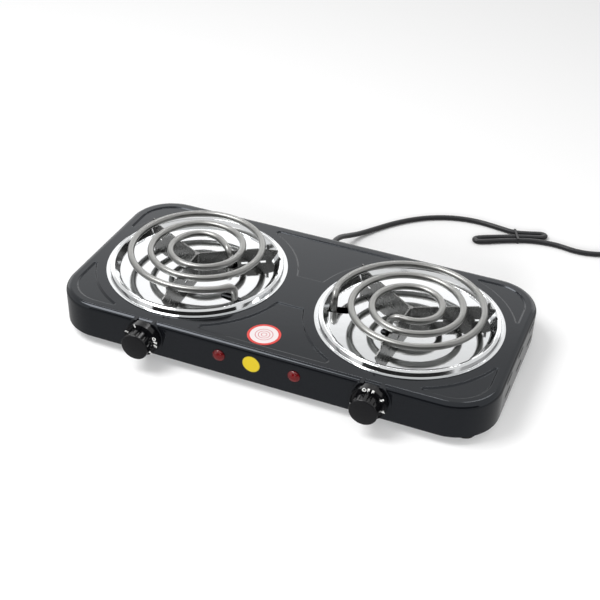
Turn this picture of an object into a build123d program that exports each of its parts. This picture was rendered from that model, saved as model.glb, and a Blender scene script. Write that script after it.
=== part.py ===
from build123d import *
import os
from math import asin, atan2, cos, degrees, pi, radians, sin, sqrt, tan

# Two-burner coil hot plate, millimetres.
# Origin: centre of the body's plan, on the surface the feet stand on. +X right, -Y front, +Z up.

os.makedirs("parts", exist_ok=True)

# ---------------------------------------------------------------- driving dimensions
# Body
body_length = 450.0
body_width = 217.0
wall_height = 37.0
foot_height = 10.0
corner_radius = 45.7
top_fillet = 5.6
sheet = 0.8
overcut = 1.0  # how far a cutting tool runs past the face it cuts

# Burners: both stand on the body's length, one each side of its centre
burner_x = 114.66

# Recessed panels of the top
panel_depth = 1.4
panel_slope = 45.0  # the step's slope from the horizontal, degrees
panel_margin = 11.0
panel_inner_edge = 25.0
panel_gap = 10.1  # from the drip pan's lip to a panel's curved edge
centre_tip_radius = 4.0
centre_end_radius = 2.2
corner_tip_radius = 2.2
panel_edge_round = 1.1
panel_quarter_gap = 8.0  # a corner panel keeps this far from its burner's centre lines

# Side wall vents
vent_length = 20.0
vent_height = 3.5
vent_pitch = 43.0
vent_centre_y = 6.0
vent_columns = 3
vent_rows = 2
vent_row_pitch = 16.0
vent_low_z = 22.0

# Drip pan
pan_lip_radius = 92.9
pan_lip_width = 3.0
pan_crest_height = 6.0  # crest above the body's top
pan_crest_outer = 88.2
pan_crest_inner = 84.3
pan_crest_outer_drop = 1.4  # the outer bend below the crest
pan_crest_inner_drop = 1.0
pan_floor_radius = 79.4
pan_floor_drop = 1.5  # floor below the body's top
pan_bend = 0.8
pan_opening_gap = 1.0

# Heating coil
tube_diameter = 6.8
coil_height = 18.5  # tube centre above the pan's floor
coil_pitch = 20.1
bend_radius = 9.5
leg_drop = 12.0  # tube end below the pan's floor
leg_hole_gap = 3.1  # round the inner leg, which stands off the hole's centre
slot_width = 10.5
coil_middle = {"left": (1.0, 9.0), "right": (2.0, -1.0)}  # from the burner's centre
coil_start = {"left": 50.0, "right": 270.0}  # bearing of the inner end, degrees
coil_sweep = {"left": 974.0, "right": 980.0}  # degrees of spiral
coil_first_radius = {"left": 23.3, "right": 23.0}
coil_lead_in = {"left": 11.0, "right": 8.0}
coil_tail_radius = {"left": 30.0, "right": 40.0}
coil_tail_turn = 20.0

# Coil bracket
strip_thickness = 1.3
strip_height = 16.5
notch_side_gap = 0.6
seat_gap = 0.05
arm_reach = 83.5
arm_foot_reach = 77.0
tab_height = 20.5
tab_width = 2.6
arm_step = 4.0
foot_slot_length = 7.0
foot_slot_height = 1.5
foot_slot_pitch = 19.0
foot_slot_count = 3
hub_radius = 2.6
stud_radius = 2.0
nut_across = 7.0
nut_height = 3.2

# Pan strap below the shell
strap_width = 12.0
strap_thickness = 1.5
strap_gap = 3.2  # from the pan's underside to the strap
strap_seat = 10.0
strap_bend_run = 3.0  # plan length of each sloping run, and its distance from the opening

# Terminals at the tube ends
bead_length = 3.0
pin_radius = 1.25
pin_length = 10.0

# Knobs and thermostats
knob_x = 116.2
knob_shift = -1.6  # both knobs stand this far to the left of even
knob_z = 30.5
skirt_radius = 17.4
skirt_gap = 1.0
skirt_front = 8.5
rim_height = 0.6
rim_width = 0.8
grip_radius = 13.9
grip_length = 22.4
grip_round = 1.6
knob_length = 23.8
knob_bore = 17.0
flute_count = 12
flute_radius = 2.2
flute_depth = 1.5
flute_end = 20.6
flute_start = 15.0
knob_turns = {"left": 85.0, "right": 0.0}  # clockwise from OFF, as the knobs stand
knob_wall = 2.0
boss_radius = 6.0
spindle_radius = 3.0
spindle_flat = 2.0  # from the axis to the flat
running_clearance = 0.05
bezel_inner = 18.2
bezel_outer = 19.8
bezel_height = 1.8
bezel_round = 0.6
bush_radius = 5.0
bush_front = 1.0
bush_length = 12.0
clip_thickness = 0.6
clip_length = 8.0
clip_width = 3.0

thermostat_width = 34.0
thermostat_low = 18.0
thermostat_high = 40.0
thermostat_plate = 1.2
thermostat_depth = 23.0
stack_radius = 5.0
stack_ring = 3.0
blade_thickness = 0.6
blade_width = 6.0
blade_length = 26.0
blade_count = 3
stack_setback = 20.2  # from the front wall's inner face to the stack's centre
thermostat_screw_pitch = 24.0
small_screw_radius = 1.5
small_head_radius = 2.8
small_head_height = 1.7

# Pilot lamps
lamp_x = 38.6
lamp_z = 31.0
lens_radius = 6.2
lens_rise = 4.0
lens_rim_height = 0.8
lens_neck_radius = 4.4
lens_neck_length = 6.0
lens_wall = 1.2
lamp_hole_gap = 0.2
lamp_body_radius = 4.8
lamp_body_length = 14.0
lamp_snout_radius = 2.8
lamp_clip_radius = 7.5
lamp_clip_thickness = 0.8

# Base plate, feet and their fasteners
plate_gap = 0.5
foot_inset = 26.0
foot_radius = 10.0
foot_top_radius = 9.0
foot_recess_radius = 5.0
foot_recess_depth = 5.0
foot_screw_radius = 2.0
foot_screw_head_radius = 4.0
foot_screw_head_height = 2.4
foot_nut_height = 3.0
tab_length = 14.0
tab_depth = 9.0
tab_thickness = 1.0
tab_spacing = 165.0
base_screw_radius = 1.75
base_head_radius = 3.2
base_head_height = 2.0
base_screw_length = 4.5
screw_hole_gap = 0.15
base_vent_length = 26.0
base_vent_width = 3.0
base_vent_pitch_x = 34.0
base_vent_pitch_y = 9.0

# Terminal block and clamp, standing on the base plate
block_x = 12.0
block_inset = 24.5  # from the back wall to the block's middle
block_length = 36.0
block_width = 14.0
block_height = 13.0
block_screw_radius = 2.0
block_screw_height = 1.6
block_poles = 3
block_pole_pitch = 11.0

# Cord and its sleeve
cord_diameter = 6.0
cord_exit_x = -18.0
cord_exit_z = 20.0
sleeve_length = 22.0
sleeve_root_radius = 6.0
sleeve_tip_radius = 4.4
sleeve_flange_radius = 9.0
sleeve_flange_width = 2.5
sleeve_hole_radius = 6.4
sleeve_inner_flange_radius = 8.5
cord_inner_length = 20.0
clamp_length = 22.0
clamp_width = 8.0
clamp_bar = 5.0
wire_radius = 1.1
wire_gap = 0.5  # between one group's level and the next
block_corner = 2.0

# Labels
label_thickness = 0.2
round_label_radius = 16.3
round_label_x = -4.8
round_label_inset = 29.5  # from the front wall to the label's centre
front_label_radius = 9.0
front_label_x = -5.0
front_label_z = 31.0

# Plug
plug_length = 34.0
plug_width = 25.0
plug_height = 21.0
plug_corner = 6.0
plug_sleeve_start = 1.6  # thickness of the plug's sleeve at its two ends
plug_sleeve_end = 3.4
plug_pin_rise = 3.0
blade_pitch = 12.7
plug_blade_width = 6.35
plug_blade_thickness = 1.5
plug_blade_length = 16.0
ground_radius = 2.4
ground_length = 19.0
ground_drop = 4.9  # ground pin's centre below the plug's middle
ground_round = 1.6
tail_sleeve_length = 18.0

# Tie round the hank of cord, and the coil the cord is put away in
tie_width = 2.4
tie_thickness = 0.9
tie_span = 21.6
tie_angle = 24.0
coil_mid_radius = 33.0
coil_entry_angle = 120.0
coil_exit_angle = 60.0
coil_turns = 2

# ---------------------------------------------------------------- levels worked out from them
top_z = foot_height + wall_height
floor_z = top_z - pan_floor_drop
coil_z = floor_z + coil_height
crest_z = top_z + pan_crest_height
tube_radius = tube_diameter / 2
leg_end_z = floor_z - leg_drop
strip_top_z = floor_z + strip_height
pan_under_z = floor_z - sheet
plate_top_z = foot_height + sheet
front_y = -body_width / 2
back_y = body_width / 2
block_y = back_y - block_inset
round_label_y = front_y + round_label_inset
inner_front_y = front_y + sheet
pan_opening_radius = pan_floor_radius + sheet + pan_opening_gap + pan_bend
panel_arc_radius = pan_lip_radius + panel_gap
burners = {"left": -burner_x, "right": burner_x}
knobs = {"left": knob_shift - knob_x, "right": knob_shift + knob_x}
knob_places = [(x, knob_z) for x in knobs.values()]
lamps = {"left": -lamp_x, "right": lamp_x}
foot_places = [
    (sx * (body_length / 2 - foot_inset), sy * (body_width / 2 - foot_inset))
    for sx in (-1, 1)
    for sy in (-1, 1)
]
tab_places = [(x, sy) for x in (-tab_spacing, 0, tab_spacing) for sy in (-1, 1)]
tab_y = body_width / 2 - sheet - tab_depth / 2


def direction(angle):
    """Unit vector in plan at an angle in degrees."""
    return Vector(cos(radians(angle)), sin(radians(angle)))


def front_plane(distance=0.0):
    """Plane parallel to the front wall, this far in front of it, with X and Z as its axes."""
    return Plane.XZ.offset(body_width / 2 + distance)


def cap_middle(radius, rise):
    """Distance from the axis, and height, halfway along a spherical cap's half section."""
    sphere = (radius * radius + rise * rise) / (2 * rise)
    angle = asin(radius / sphere) / 2
    return sphere * sin(angle), rise - sphere * (1 - cos(angle))


# ---------------------------------------------------------------- heating coil geometry
class CoilPath:
    """A spiral of quarter arcs with both ends turned down through the pan.

    Four centres on a small square make the arcs meet tangentially, each arc a quarter pitch
    larger than the last. Everything is in plan, from the burner's centre.
    """

    def __init__(self, centre, start, sweep, first_radius, lead_in, tail_radius, tail_turn):
        step = coil_pitch / 4
        middle = Vector(*centre)
        arc_centre = middle + (direction(start + 90) + direction(start + 180)) * (step / 2)
        radius = first_radius + step / 2
        angle = start
        remaining = sweep
        self.arcs = []
        while remaining > 0:
            turn = min(90.0, remaining)
            self.arcs.append((arc_centre, radius, angle, turn))
            angle += turn
            remaining -= turn
            if remaining > 0:
                arc_centre = arc_centre - direction(angle) * step
                radius += step
        tail_centre = arc_centre + direction(angle) * (radius - tail_radius)
        self.arcs.append((tail_centre, tail_radius, angle, tail_turn))
        self.start_point = self.arcs[0][0] + direction(start) * self.arcs[0][1]
        self.start_heading = direction(start - 90)
        end_angle = angle + tail_turn
        self.end_point = tail_centre + direction(end_angle) * tail_radius
        self.end_heading = direction(end_angle + 90)
        self.bend_start = self.start_point + self.start_heading * lead_in
        self.inner_leg = self.bend_start + self.start_heading * bend_radius
        self.outer_leg = self.end_point + self.end_heading * bend_radius

    def crossings(self, angle):
        """Distances from the burner's centre at which the tube crosses one arm's line."""
        ray = direction(angle)
        found = []
        for centre, radius, first, turn in self.arcs:
            along = centre.dot(ray)
            square = along * along - centre.dot(centre) + radius * radius
            for sign in (-1, 1):
                reach = along + sign * sqrt(max(square, 0.0))
                offset = ray * reach - centre
                bearing = degrees(atan2(offset.Y, offset.X))
                if square > 0 and reach > 0 and (bearing - first) % 360 <= turn:
                    found.append(reach)
        return sorted(found)


coil_paths = {
    side: CoilPath(
        coil_middle[side],
        coil_start[side],
        coil_sweep[side],
        coil_first_radius[side],
        coil_lead_in[side],
        coil_tail_radius[side],
        coil_tail_turn,
    )
    for side in ("left", "right")
}
arm_angles = {"left": 32.5, "right": 25.5}


def bend_middle(bend_point, leg):
    """Middle of the quarter bend between the coil's plane and one leg."""
    flat = bend_point + (leg - bend_point) * sqrt(0.5)
    return (flat.X, flat.Y, coil_z - bend_radius * (1 - sqrt(0.5)))


def coil_tube(path, centre, radius):
    """A solid round tube along one burner's whole coil, and the tube's length."""
    inner = centre + path.inner_leg
    outer = centre + path.outer_leg
    lead_end = centre + path.bend_start
    first = centre + path.start_point
    last = centre + path.end_point
    bend_z = coil_z - bend_radius
    with BuildPart() as tube:
        with BuildLine() as line:
            Line((inner.X, inner.Y, leg_end_z), (inner.X, inner.Y, bend_z))
            ThreePointArc(
                (inner.X, inner.Y, bend_z),
                bend_middle(lead_end, inner),
                (lead_end.X, lead_end.Y, coil_z),
            )
            Line((lead_end.X, lead_end.Y, coil_z), (first.X, first.Y, coil_z))
            for arc_centre, arc_radius, angle, turn in path.arcs:
                where = centre + arc_centre
                CenterArc((where.X, where.Y, coil_z), arc_radius, angle, turn)
            ThreePointArc(
                (last.X, last.Y, coil_z),
                bend_middle(last, outer),
                (outer.X, outer.Y, bend_z),
            )
            Line((outer.X, outer.Y, bend_z), (outer.X, outer.Y, leg_end_z))
        with BuildSketch(Plane((inner.X, inner.Y, leg_end_z))):
            Circle(radius)
        sweep(path=line.wire())
    return tube.part, line.wire().length


# The pan's holes for the tube's legs: a round one inside, a slot outside.
inner_hole_radius = tube_radius + leg_hole_gap
inner_hole_shift = {"left": (0.9, 1.4), "right": (-0.8, -2.2)}
slot_ends = {
    "left": ((-11.0, 3.5), (2.0, 1.0)),
    "right": ((-2.6, 0.6), (11.5, 4.0)),
}

# ---------------------------------------------------------------- top shell
with BuildSketch() as centre_panel:
    with Locations((0, -panel_inner_edge)):
        Rectangle(
            2 * burner_x,
            body_width / 2 - panel_margin - panel_inner_edge,
            align=(Align.CENTER, Align.MAX),
        )
    with Locations((burner_x, 0), (-burner_x, 0)):
        Circle(panel_arc_radius, mode=Mode.SUBTRACT)
    fillet(centre_panel.vertices().group_by(Axis.Y)[0], radius=centre_tip_radius)
    fillet(centre_panel.vertices().group_by(Axis.Y)[-1], radius=centre_end_radius)

with BuildSketch() as corner_panel:
    RectangleRounded(
        body_length - 2 * panel_margin,
        body_width - 2 * panel_margin,
        corner_radius - panel_margin,
    )
    with Locations((burner_x, 0)):
        Circle(panel_arc_radius, mode=Mode.SUBTRACT)
    with Locations((burner_x + panel_quarter_gap, -panel_quarter_gap)):
        Rectangle(body_length, body_width, align=(Align.MIN, Align.MAX), mode=Mode.INTERSECT)
    burner_middle = Vector(burner_x, 0)
    corner_tips = [
        vertex
        for vertex in corner_panel.vertices()
        if abs((Vector(vertex.X, vertex.Y) - burner_middle).length - panel_arc_radius) < sheet
    ]
    fillet(corner_tips, radius=corner_tip_radius)

with BuildSketch() as panels:
    add(corner_panel.sketch)
    mirror(about=Plane.YZ)
    add(centre_panel.sketch)
    mirror(about=Plane.XZ)

floor_level = top_z - panel_depth

# The hollow inside the sheet, with the panels' undersides standing down into it.
with BuildPart() as shell_hollow:
    with BuildSketch(Plane.XY.offset(foot_height - overcut)):
        RectangleRounded(body_length - 2 * sheet, body_width - 2 * sheet, corner_radius - sheet)
    extrude(amount=wall_height - sheet + overcut)
    fillet(shell_hollow.faces().sort_by(Axis.Z)[-1].edges(), radius=top_fillet - sheet)
    with BuildSketch(Plane.XY.offset(top_z - sheet)):
        add(panels.sketch)
        offset(amount=sheet * tan(radians(panel_slope / 2)))
    extrude(amount=-panel_depth, taper=90 - panel_slope, mode=Mode.SUBTRACT)

with BuildPart() as top_shell:
    with BuildSketch(Plane.XY.offset(foot_height)):
        RectangleRounded(body_length, body_width, corner_radius)
    extrude(amount=wall_height)
    fillet(top_shell.faces().sort_by(Axis.Z)[-1].edges(), radius=top_fillet)
    # Raised ring round each knob, cut off level with the top
    with BuildSketch(front_plane(bezel_height)):
        with Locations(*knob_places):
            Circle(bezel_outer)
            Circle(bezel_inner, mode=Mode.SUBTRACT)
        with Locations((0, foot_height)):
            Rectangle(
                body_length, wall_height, align=(Align.CENTER, Align.MIN), mode=Mode.INTERSECT
            )
    extrude(amount=-(bezel_height + top_fillet))
    ring_front = top_shell.faces().filter_by(Axis.Y).sort_by(Axis.Y)[:2]
    ring_edges = ring_front.edges().filter_by(GeomType.CIRCLE)
    ring_edges = [edge for edge in ring_edges if edge.radius > bezel_inner + sheet]
    fillet(ring_edges, radius=bezel_round)
    with BuildSketch(Plane.XY.offset(top_z)):
        add(panels.sketch)
    extrude(amount=-panel_depth, taper=90 - panel_slope, mode=Mode.SUBTRACT)
    top_face = top_shell.faces().filter_by(Axis.Z).sort_by(Axis.Z)[-1]
    panel_floors = top_shell.faces().filter_by_position(Axis.Z, floor_level, floor_level)
    panel_edges = [edge for wire in top_face.inner_wires() for edge in wire.edges()]
    panel_edges += [edge for face in panel_floors for edge in face.outer_wire().edges()]
    fillet(panel_edges, radius=panel_edge_round)
    add(shell_hollow.part, mode=Mode.SUBTRACT)
    # Openings for the drip pans
    with BuildSketch(Plane.XY.offset(top_z + overcut)):
        with Locations((-burner_x, 0), (burner_x, 0)):
            Circle(pan_opening_radius)
    extrude(amount=-(sheet + 2 * overcut), mode=Mode.SUBTRACT)
    # Side wall vents, cut through both side walls at once
    with BuildSketch(Plane.YZ.offset(body_length / 2 + overcut)):
        with Locations((vent_centre_y, vent_low_z + vent_row_pitch / 2)):
            with GridLocations(vent_pitch, vent_row_pitch, vent_columns, vent_rows):
                SlotOverall(vent_length, vent_height)
    extrude(amount=-(body_length + 2 * overcut), mode=Mode.SUBTRACT)
    # Front wall: spindle bushes, thermostat screws and pilot lamps
    with BuildSketch(front_plane(overcut)):
        with Locations(*knob_places):
            Circle(bush_radius + screw_hole_gap)
            with GridLocations(thermostat_screw_pitch, 0, 2, 1):
                Circle(small_screw_radius + screw_hole_gap)
        with Locations((-lamp_x, lamp_z), (lamp_x, lamp_z)):
            Circle(lens_neck_radius + lamp_hole_gap)
    extrude(amount=-(sheet + 2 * overcut), mode=Mode.SUBTRACT)
    # Back wall: the cord sleeve's hole
    with BuildSketch(Plane.XZ.offset(-(body_width / 2 + overcut))):
        with Locations((cord_exit_x, cord_exit_z)):
            Circle(sleeve_hole_radius)
    extrude(amount=sheet + 2 * overcut, mode=Mode.SUBTRACT)
    # Tabs that the base plate is screwed to
    with BuildSketch(Plane.XY.offset(plate_top_z)):
        for x, side in tab_places:
            with Locations((x, side * (tab_y + sheet / 4))):
                Rectangle(tab_length, tab_depth + sheet / 2)
    extrude(amount=tab_thickness)
    with BuildSketch(Plane.XY.offset(plate_top_z)):
        for x, side in tab_places:
            with Locations((x, side * tab_y)):
                Circle(base_screw_radius)
    extrude(amount=tab_thickness, mode=Mode.SUBTRACT)
top_shell.part.label = "top_shell"
export_step(top_shell.part, "parts/top_shell.step")

# ---------------------------------------------------------------- base plate, feet, fasteners
with BuildPart() as base_plate:
    with BuildSketch(Plane.XY.offset(foot_height)):
        RectangleRounded(
            body_length - 2 * (sheet + plate_gap),
            body_width - 2 * (sheet + plate_gap),
            corner_radius - sheet - plate_gap,
        )
        for x, side in tab_places:
            with Locations((x, side * tab_y)):
                Circle(base_screw_radius + screw_hole_gap, mode=Mode.SUBTRACT)
        with Locations(*foot_places):
            Circle(foot_screw_radius + screw_hole_gap, mode=Mode.SUBTRACT)
        with Locations((-burner_x, 0), (burner_x, 0)):
            with GridLocations(base_vent_pitch_x, base_vent_pitch_y, 3, 5):
                SlotOverall(base_vent_length, base_vent_width, mode=Mode.SUBTRACT)
    extrude(amount=sheet)
base_plate.part.label = "base_plate"
export_step(base_plate.part, "parts/base_plate.step")

with BuildPart() as base_screws:
    for x, side in tab_places:
        with Locations((x, side * tab_y, foot_height - base_head_height)):
            Cylinder(base_head_radius, base_head_height, align=(Align.CENTER, Align.CENTER, Align.MIN))
        with Locations((x, side * tab_y, foot_height)):
            Cylinder(base_screw_radius, base_screw_length, align=(Align.CENTER, Align.CENTER, Align.MIN))
base_screws.part.label = "base_screws"
export_step(base_screws.part, "parts/base_screws.step")

for index, (foot_x, foot_y) in enumerate(foot_places):
    foot_name = "foot_{}_{}".format("front" if foot_y < 0 else "back", "left" if foot_x < 0 else "right")
    with BuildPart() as foot:
        with BuildSketch(Plane.XZ.offset(-foot_y)):
            with BuildLine():
                Polyline(
                    (foot_x + foot_recess_radius, 0),
                    (foot_x + foot_radius, 0),
                    (foot_x + foot_top_radius, foot_height),
                    (foot_x + foot_screw_radius, foot_height),
                    (foot_x + foot_screw_radius, foot_recess_depth),
                    (foot_x + foot_recess_radius, foot_recess_depth),
                    close=True,
                )
            make_face()
        revolve(axis=Axis((foot_x, foot_y, 0), (0, 0, 1)))
    foot.part.label = foot_name
    export_step(foot.part, f"parts/{foot_name}.step")

with BuildPart() as foot_screws:
    with Locations(*[(x, y, foot_recess_depth - foot_screw_head_height) for x, y in foot_places]):
        Cylinder(
            foot_screw_head_radius,
            foot_screw_head_height,
            align=(Align.CENTER, Align.CENTER, Align.MIN),
        )
    with Locations(*[(x, y, foot_recess_depth) for x, y in foot_places]):
        Cylinder(
            foot_screw_radius,
            plate_top_z + foot_nut_height + overcut - foot_recess_depth,
            align=(Align.CENTER, Align.CENTER, Align.MIN),
        )
foot_screws.part.label = "foot_screws"
export_step(foot_screws.part, "parts/foot_screws.step")

with BuildPart() as foot_nuts:
    with BuildSketch(Plane.XY.offset(plate_top_z)):
        with Locations(*foot_places):
            RegularPolygon(nut_across / 2, 6, major_radius=False)
            Circle(foot_screw_radius, mode=Mode.SUBTRACT)
    extrude(amount=foot_nut_height)
foot_nuts.part.label = "foot_nuts"
export_step(foot_nuts.part, "parts/foot_nuts.step")

# ---------------------------------------------------------------- burners
strap_top_z = pan_under_z - strap_gap
seat_top_z = top_z - sheet
stud_end_z = strap_top_z - strap_thickness - nut_height - overcut

for side, x in burners.items():
    path = coil_paths[side]
    centre = Vector(x, 0)

    # Heating coil: one sheathed tube
    inner_leg = centre + path.inner_leg
    outer_leg = centre + path.outer_leg
    heating_coil, tube_length = coil_tube(path, centre, tube_radius)
    heating_coil.label = f"heating_coil_{side}"
    export_step(heating_coil, f"parts/heating_coil_{side}.step")
    section = pi * tube_radius * tube_radius
    print(f"{heating_coil.label}: volume {heating_coil.volume:.1f}, {section * tube_length:.1f}")

    # Drip pan: a pressed dish hung in the shell's opening by its lip
    pan_middle = sheet / 2
    hole_x, hole_y = inner_hole_shift[side]
    hole_centre = inner_leg + Vector(hole_x, hole_y)
    slot_from, slot_to = (outer_leg + Vector(*shift) for shift in slot_ends[side])
    with BuildPart() as drip_pan:
        with BuildSketch(Plane.XZ):
            with BuildLine():
                FilletPolyline(
                    (x + pan_lip_radius, top_z + pan_middle),
                    (x + pan_lip_radius - pan_lip_width, top_z + pan_middle),
                    (x + pan_crest_outer, crest_z - pan_crest_outer_drop),
                    (x + (pan_crest_outer + pan_crest_inner) / 2, crest_z - pan_middle),
                    (x + pan_crest_inner, crest_z - pan_crest_inner_drop),
                    (x + pan_floor_radius, floor_z - pan_middle),
                    (x + stud_radius + screw_hole_gap, floor_z - pan_middle),
                    radius=[pan_bend, pan_bend, pan_bend, pan_bend, 2 * pan_bend],
                )
            trace(line_width=sheet)
        revolve(axis=Axis((x, 0, 0), (0, 0, 1)))
        with BuildSketch(Plane.XY.offset(floor_z + overcut)):
            with Locations(hole_centre):
                Circle(inner_hole_radius)
            slot_span = slot_to - slot_from
            slot_middle = (slot_to + slot_from) / 2
            slot_angle = degrees(atan2(slot_span.Y, slot_span.X))
            with Locations(Location((slot_middle.X, slot_middle.Y, 0), (0, 0, slot_angle))):
                SlotCenterToCenter(slot_span.length, slot_width)
        extrude(amount=-(sheet + 2 * overcut), mode=Mode.SUBTRACT)
    drip_pan.part.label = f"drip_pan_{side}"
    export_step(drip_pan.part, f"parts/drip_pan_{side}.step")

    # Coil bracket: three upright arms on a hub with a stud
    with BuildPart() as bracket:
        for arm in range(3):
            angle = arm_angles[side] + 120 * arm
            tube_places = path.crossings(angle)
            along = direction(angle)
            arm_plane = Plane((x, 0, floor_z), x_dir=along, z_dir=(along.Y, -along.X, 0))
            tab_start = tube_places[-1] + tube_radius + notch_side_gap
            tab_end = tab_start + tab_width
            reach = max(arm_reach, tab_end + arm_step / 2)
            step_z = strip_height - arm_step
            with BuildSketch(arm_plane):
                with BuildLine():
                    Polyline(
                        (0, 0),
                        (arm_foot_reach, 0),
                        (reach, step_z - arm_step / 2),
                        (reach, step_z),
                        (tab_end, step_z + arm_step / 2),
                        (tab_end, tab_height),
                        (tab_start, tab_height),
                        (tab_start, strip_height),
                        (0, strip_height),
                        close=True,
                    )
                make_face()
                for place in tube_places:
                    with Locations((place, coil_height - tube_radius)):
                        Rectangle(
                            tube_diameter + 2 * notch_side_gap,
                            tube_diameter,
                            align=(Align.CENTER, Align.MIN),
                            mode=Mode.SUBTRACT,
                        )
                for index in range(foot_slot_count):
                    with Locations((arm_foot_reach - foot_slot_pitch * (index + 0.5), 0)):
                        Rectangle(
                            foot_slot_length,
                            2 * foot_slot_height,
                            mode=Mode.SUBTRACT,
                        )
            extrude(amount=strip_thickness / 2, both=True)
        with Locations((x, 0, floor_z)):
            Cylinder(hub_radius, strip_height, align=(Align.CENTER, Align.CENTER, Align.MIN))
        with Locations((x, 0, stud_end_z)):
            Cylinder(
                stud_radius, floor_z - stud_end_z, align=(Align.CENTER, Align.CENTER, Align.MIN)
            )
        # Wherever the tube passes an arm, the arm is cut to clear it
        tube_space, _ = coil_tube(path, centre, tube_radius + seat_gap)
        add(tube_space, mode=Mode.SUBTRACT)
    bracket.part.label = f"coil_bracket_{side}"
    export_step(bracket.part, f"parts/coil_bracket_{side}.step")

    # Strap across the opening's underside; the nut draws bracket, pan and strap together
    with BuildPart() as strap:
        seat_inner = pan_opening_radius + strap_bend_run
        with BuildSketch(Plane.YZ.offset(x - strap_width / 2)):
            with BuildLine():
                Polyline(
                    (-seat_inner - strap_seat, seat_top_z - strap_thickness / 2),
                    (-seat_inner, seat_top_z - strap_thickness / 2),
                    (-seat_inner + strap_bend_run, strap_top_z - strap_thickness / 2),
                    (seat_inner - strap_bend_run, strap_top_z - strap_thickness / 2),
                    (seat_inner, seat_top_z - strap_thickness / 2),
                    (seat_inner + strap_seat, seat_top_z - strap_thickness / 2),
                )
            trace(line_width=strap_thickness)
        extrude(amount=strap_width)
        with Locations((x, 0, strap_top_z)):
            Hole(stud_radius + screw_hole_gap)
    strap.part.label = f"pan_strap_{side}"
    export_step(strap.part, f"parts/pan_strap_{side}.step")

# Ceramic beads and terminal pins at the tubes' ends
leg_places = []
for side, x in burners.items():
    leg_places.append(Vector(x, 0) + coil_paths[side].inner_leg)
    leg_places.append(Vector(x, 0) + coil_paths[side].outer_leg)

with BuildPart() as terminal_beads:
    with BuildSketch(Plane.XY.offset(leg_end_z)):
        with Locations(*leg_places):
            Circle(tube_radius)
            Circle(pin_radius, mode=Mode.SUBTRACT)
    extrude(amount=-bead_length)
terminal_beads.part.label = "terminal_beads"
export_step(terminal_beads.part, "parts/terminal_beads.step")

with BuildPart() as terminal_pins:
    with BuildSketch(Plane.XY.offset(leg_end_z)):
        with Locations(*leg_places):
            Circle(pin_radius)
    extrude(amount=-pin_length)
terminal_pins.part.label = "terminal_pins"
export_step(terminal_pins.part, "parts/terminal_pins.step")

with BuildPart() as strap_nuts:
    with BuildSketch(Plane.XY.offset(strap_top_z - strap_thickness)):
        with Locations((-burner_x, 0), (burner_x, 0)):
            RegularPolygon(nut_across / 2, 6, major_radius=False)
            Circle(stud_radius, mode=Mode.SUBTRACT)
    extrude(amount=-nut_height)
strap_nuts.part.label = "strap_nuts"
export_step(strap_nuts.part, "parts/strap_nuts.step")

# ---------------------------------------------------------------- knobs and thermostats
clip_top = spindle_flat + clip_thickness
spindle_front = knob_bore - overcut
collar_radius = bush_radius - 1.0
collar_length = 3.0
collar_gap = 0.2

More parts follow.
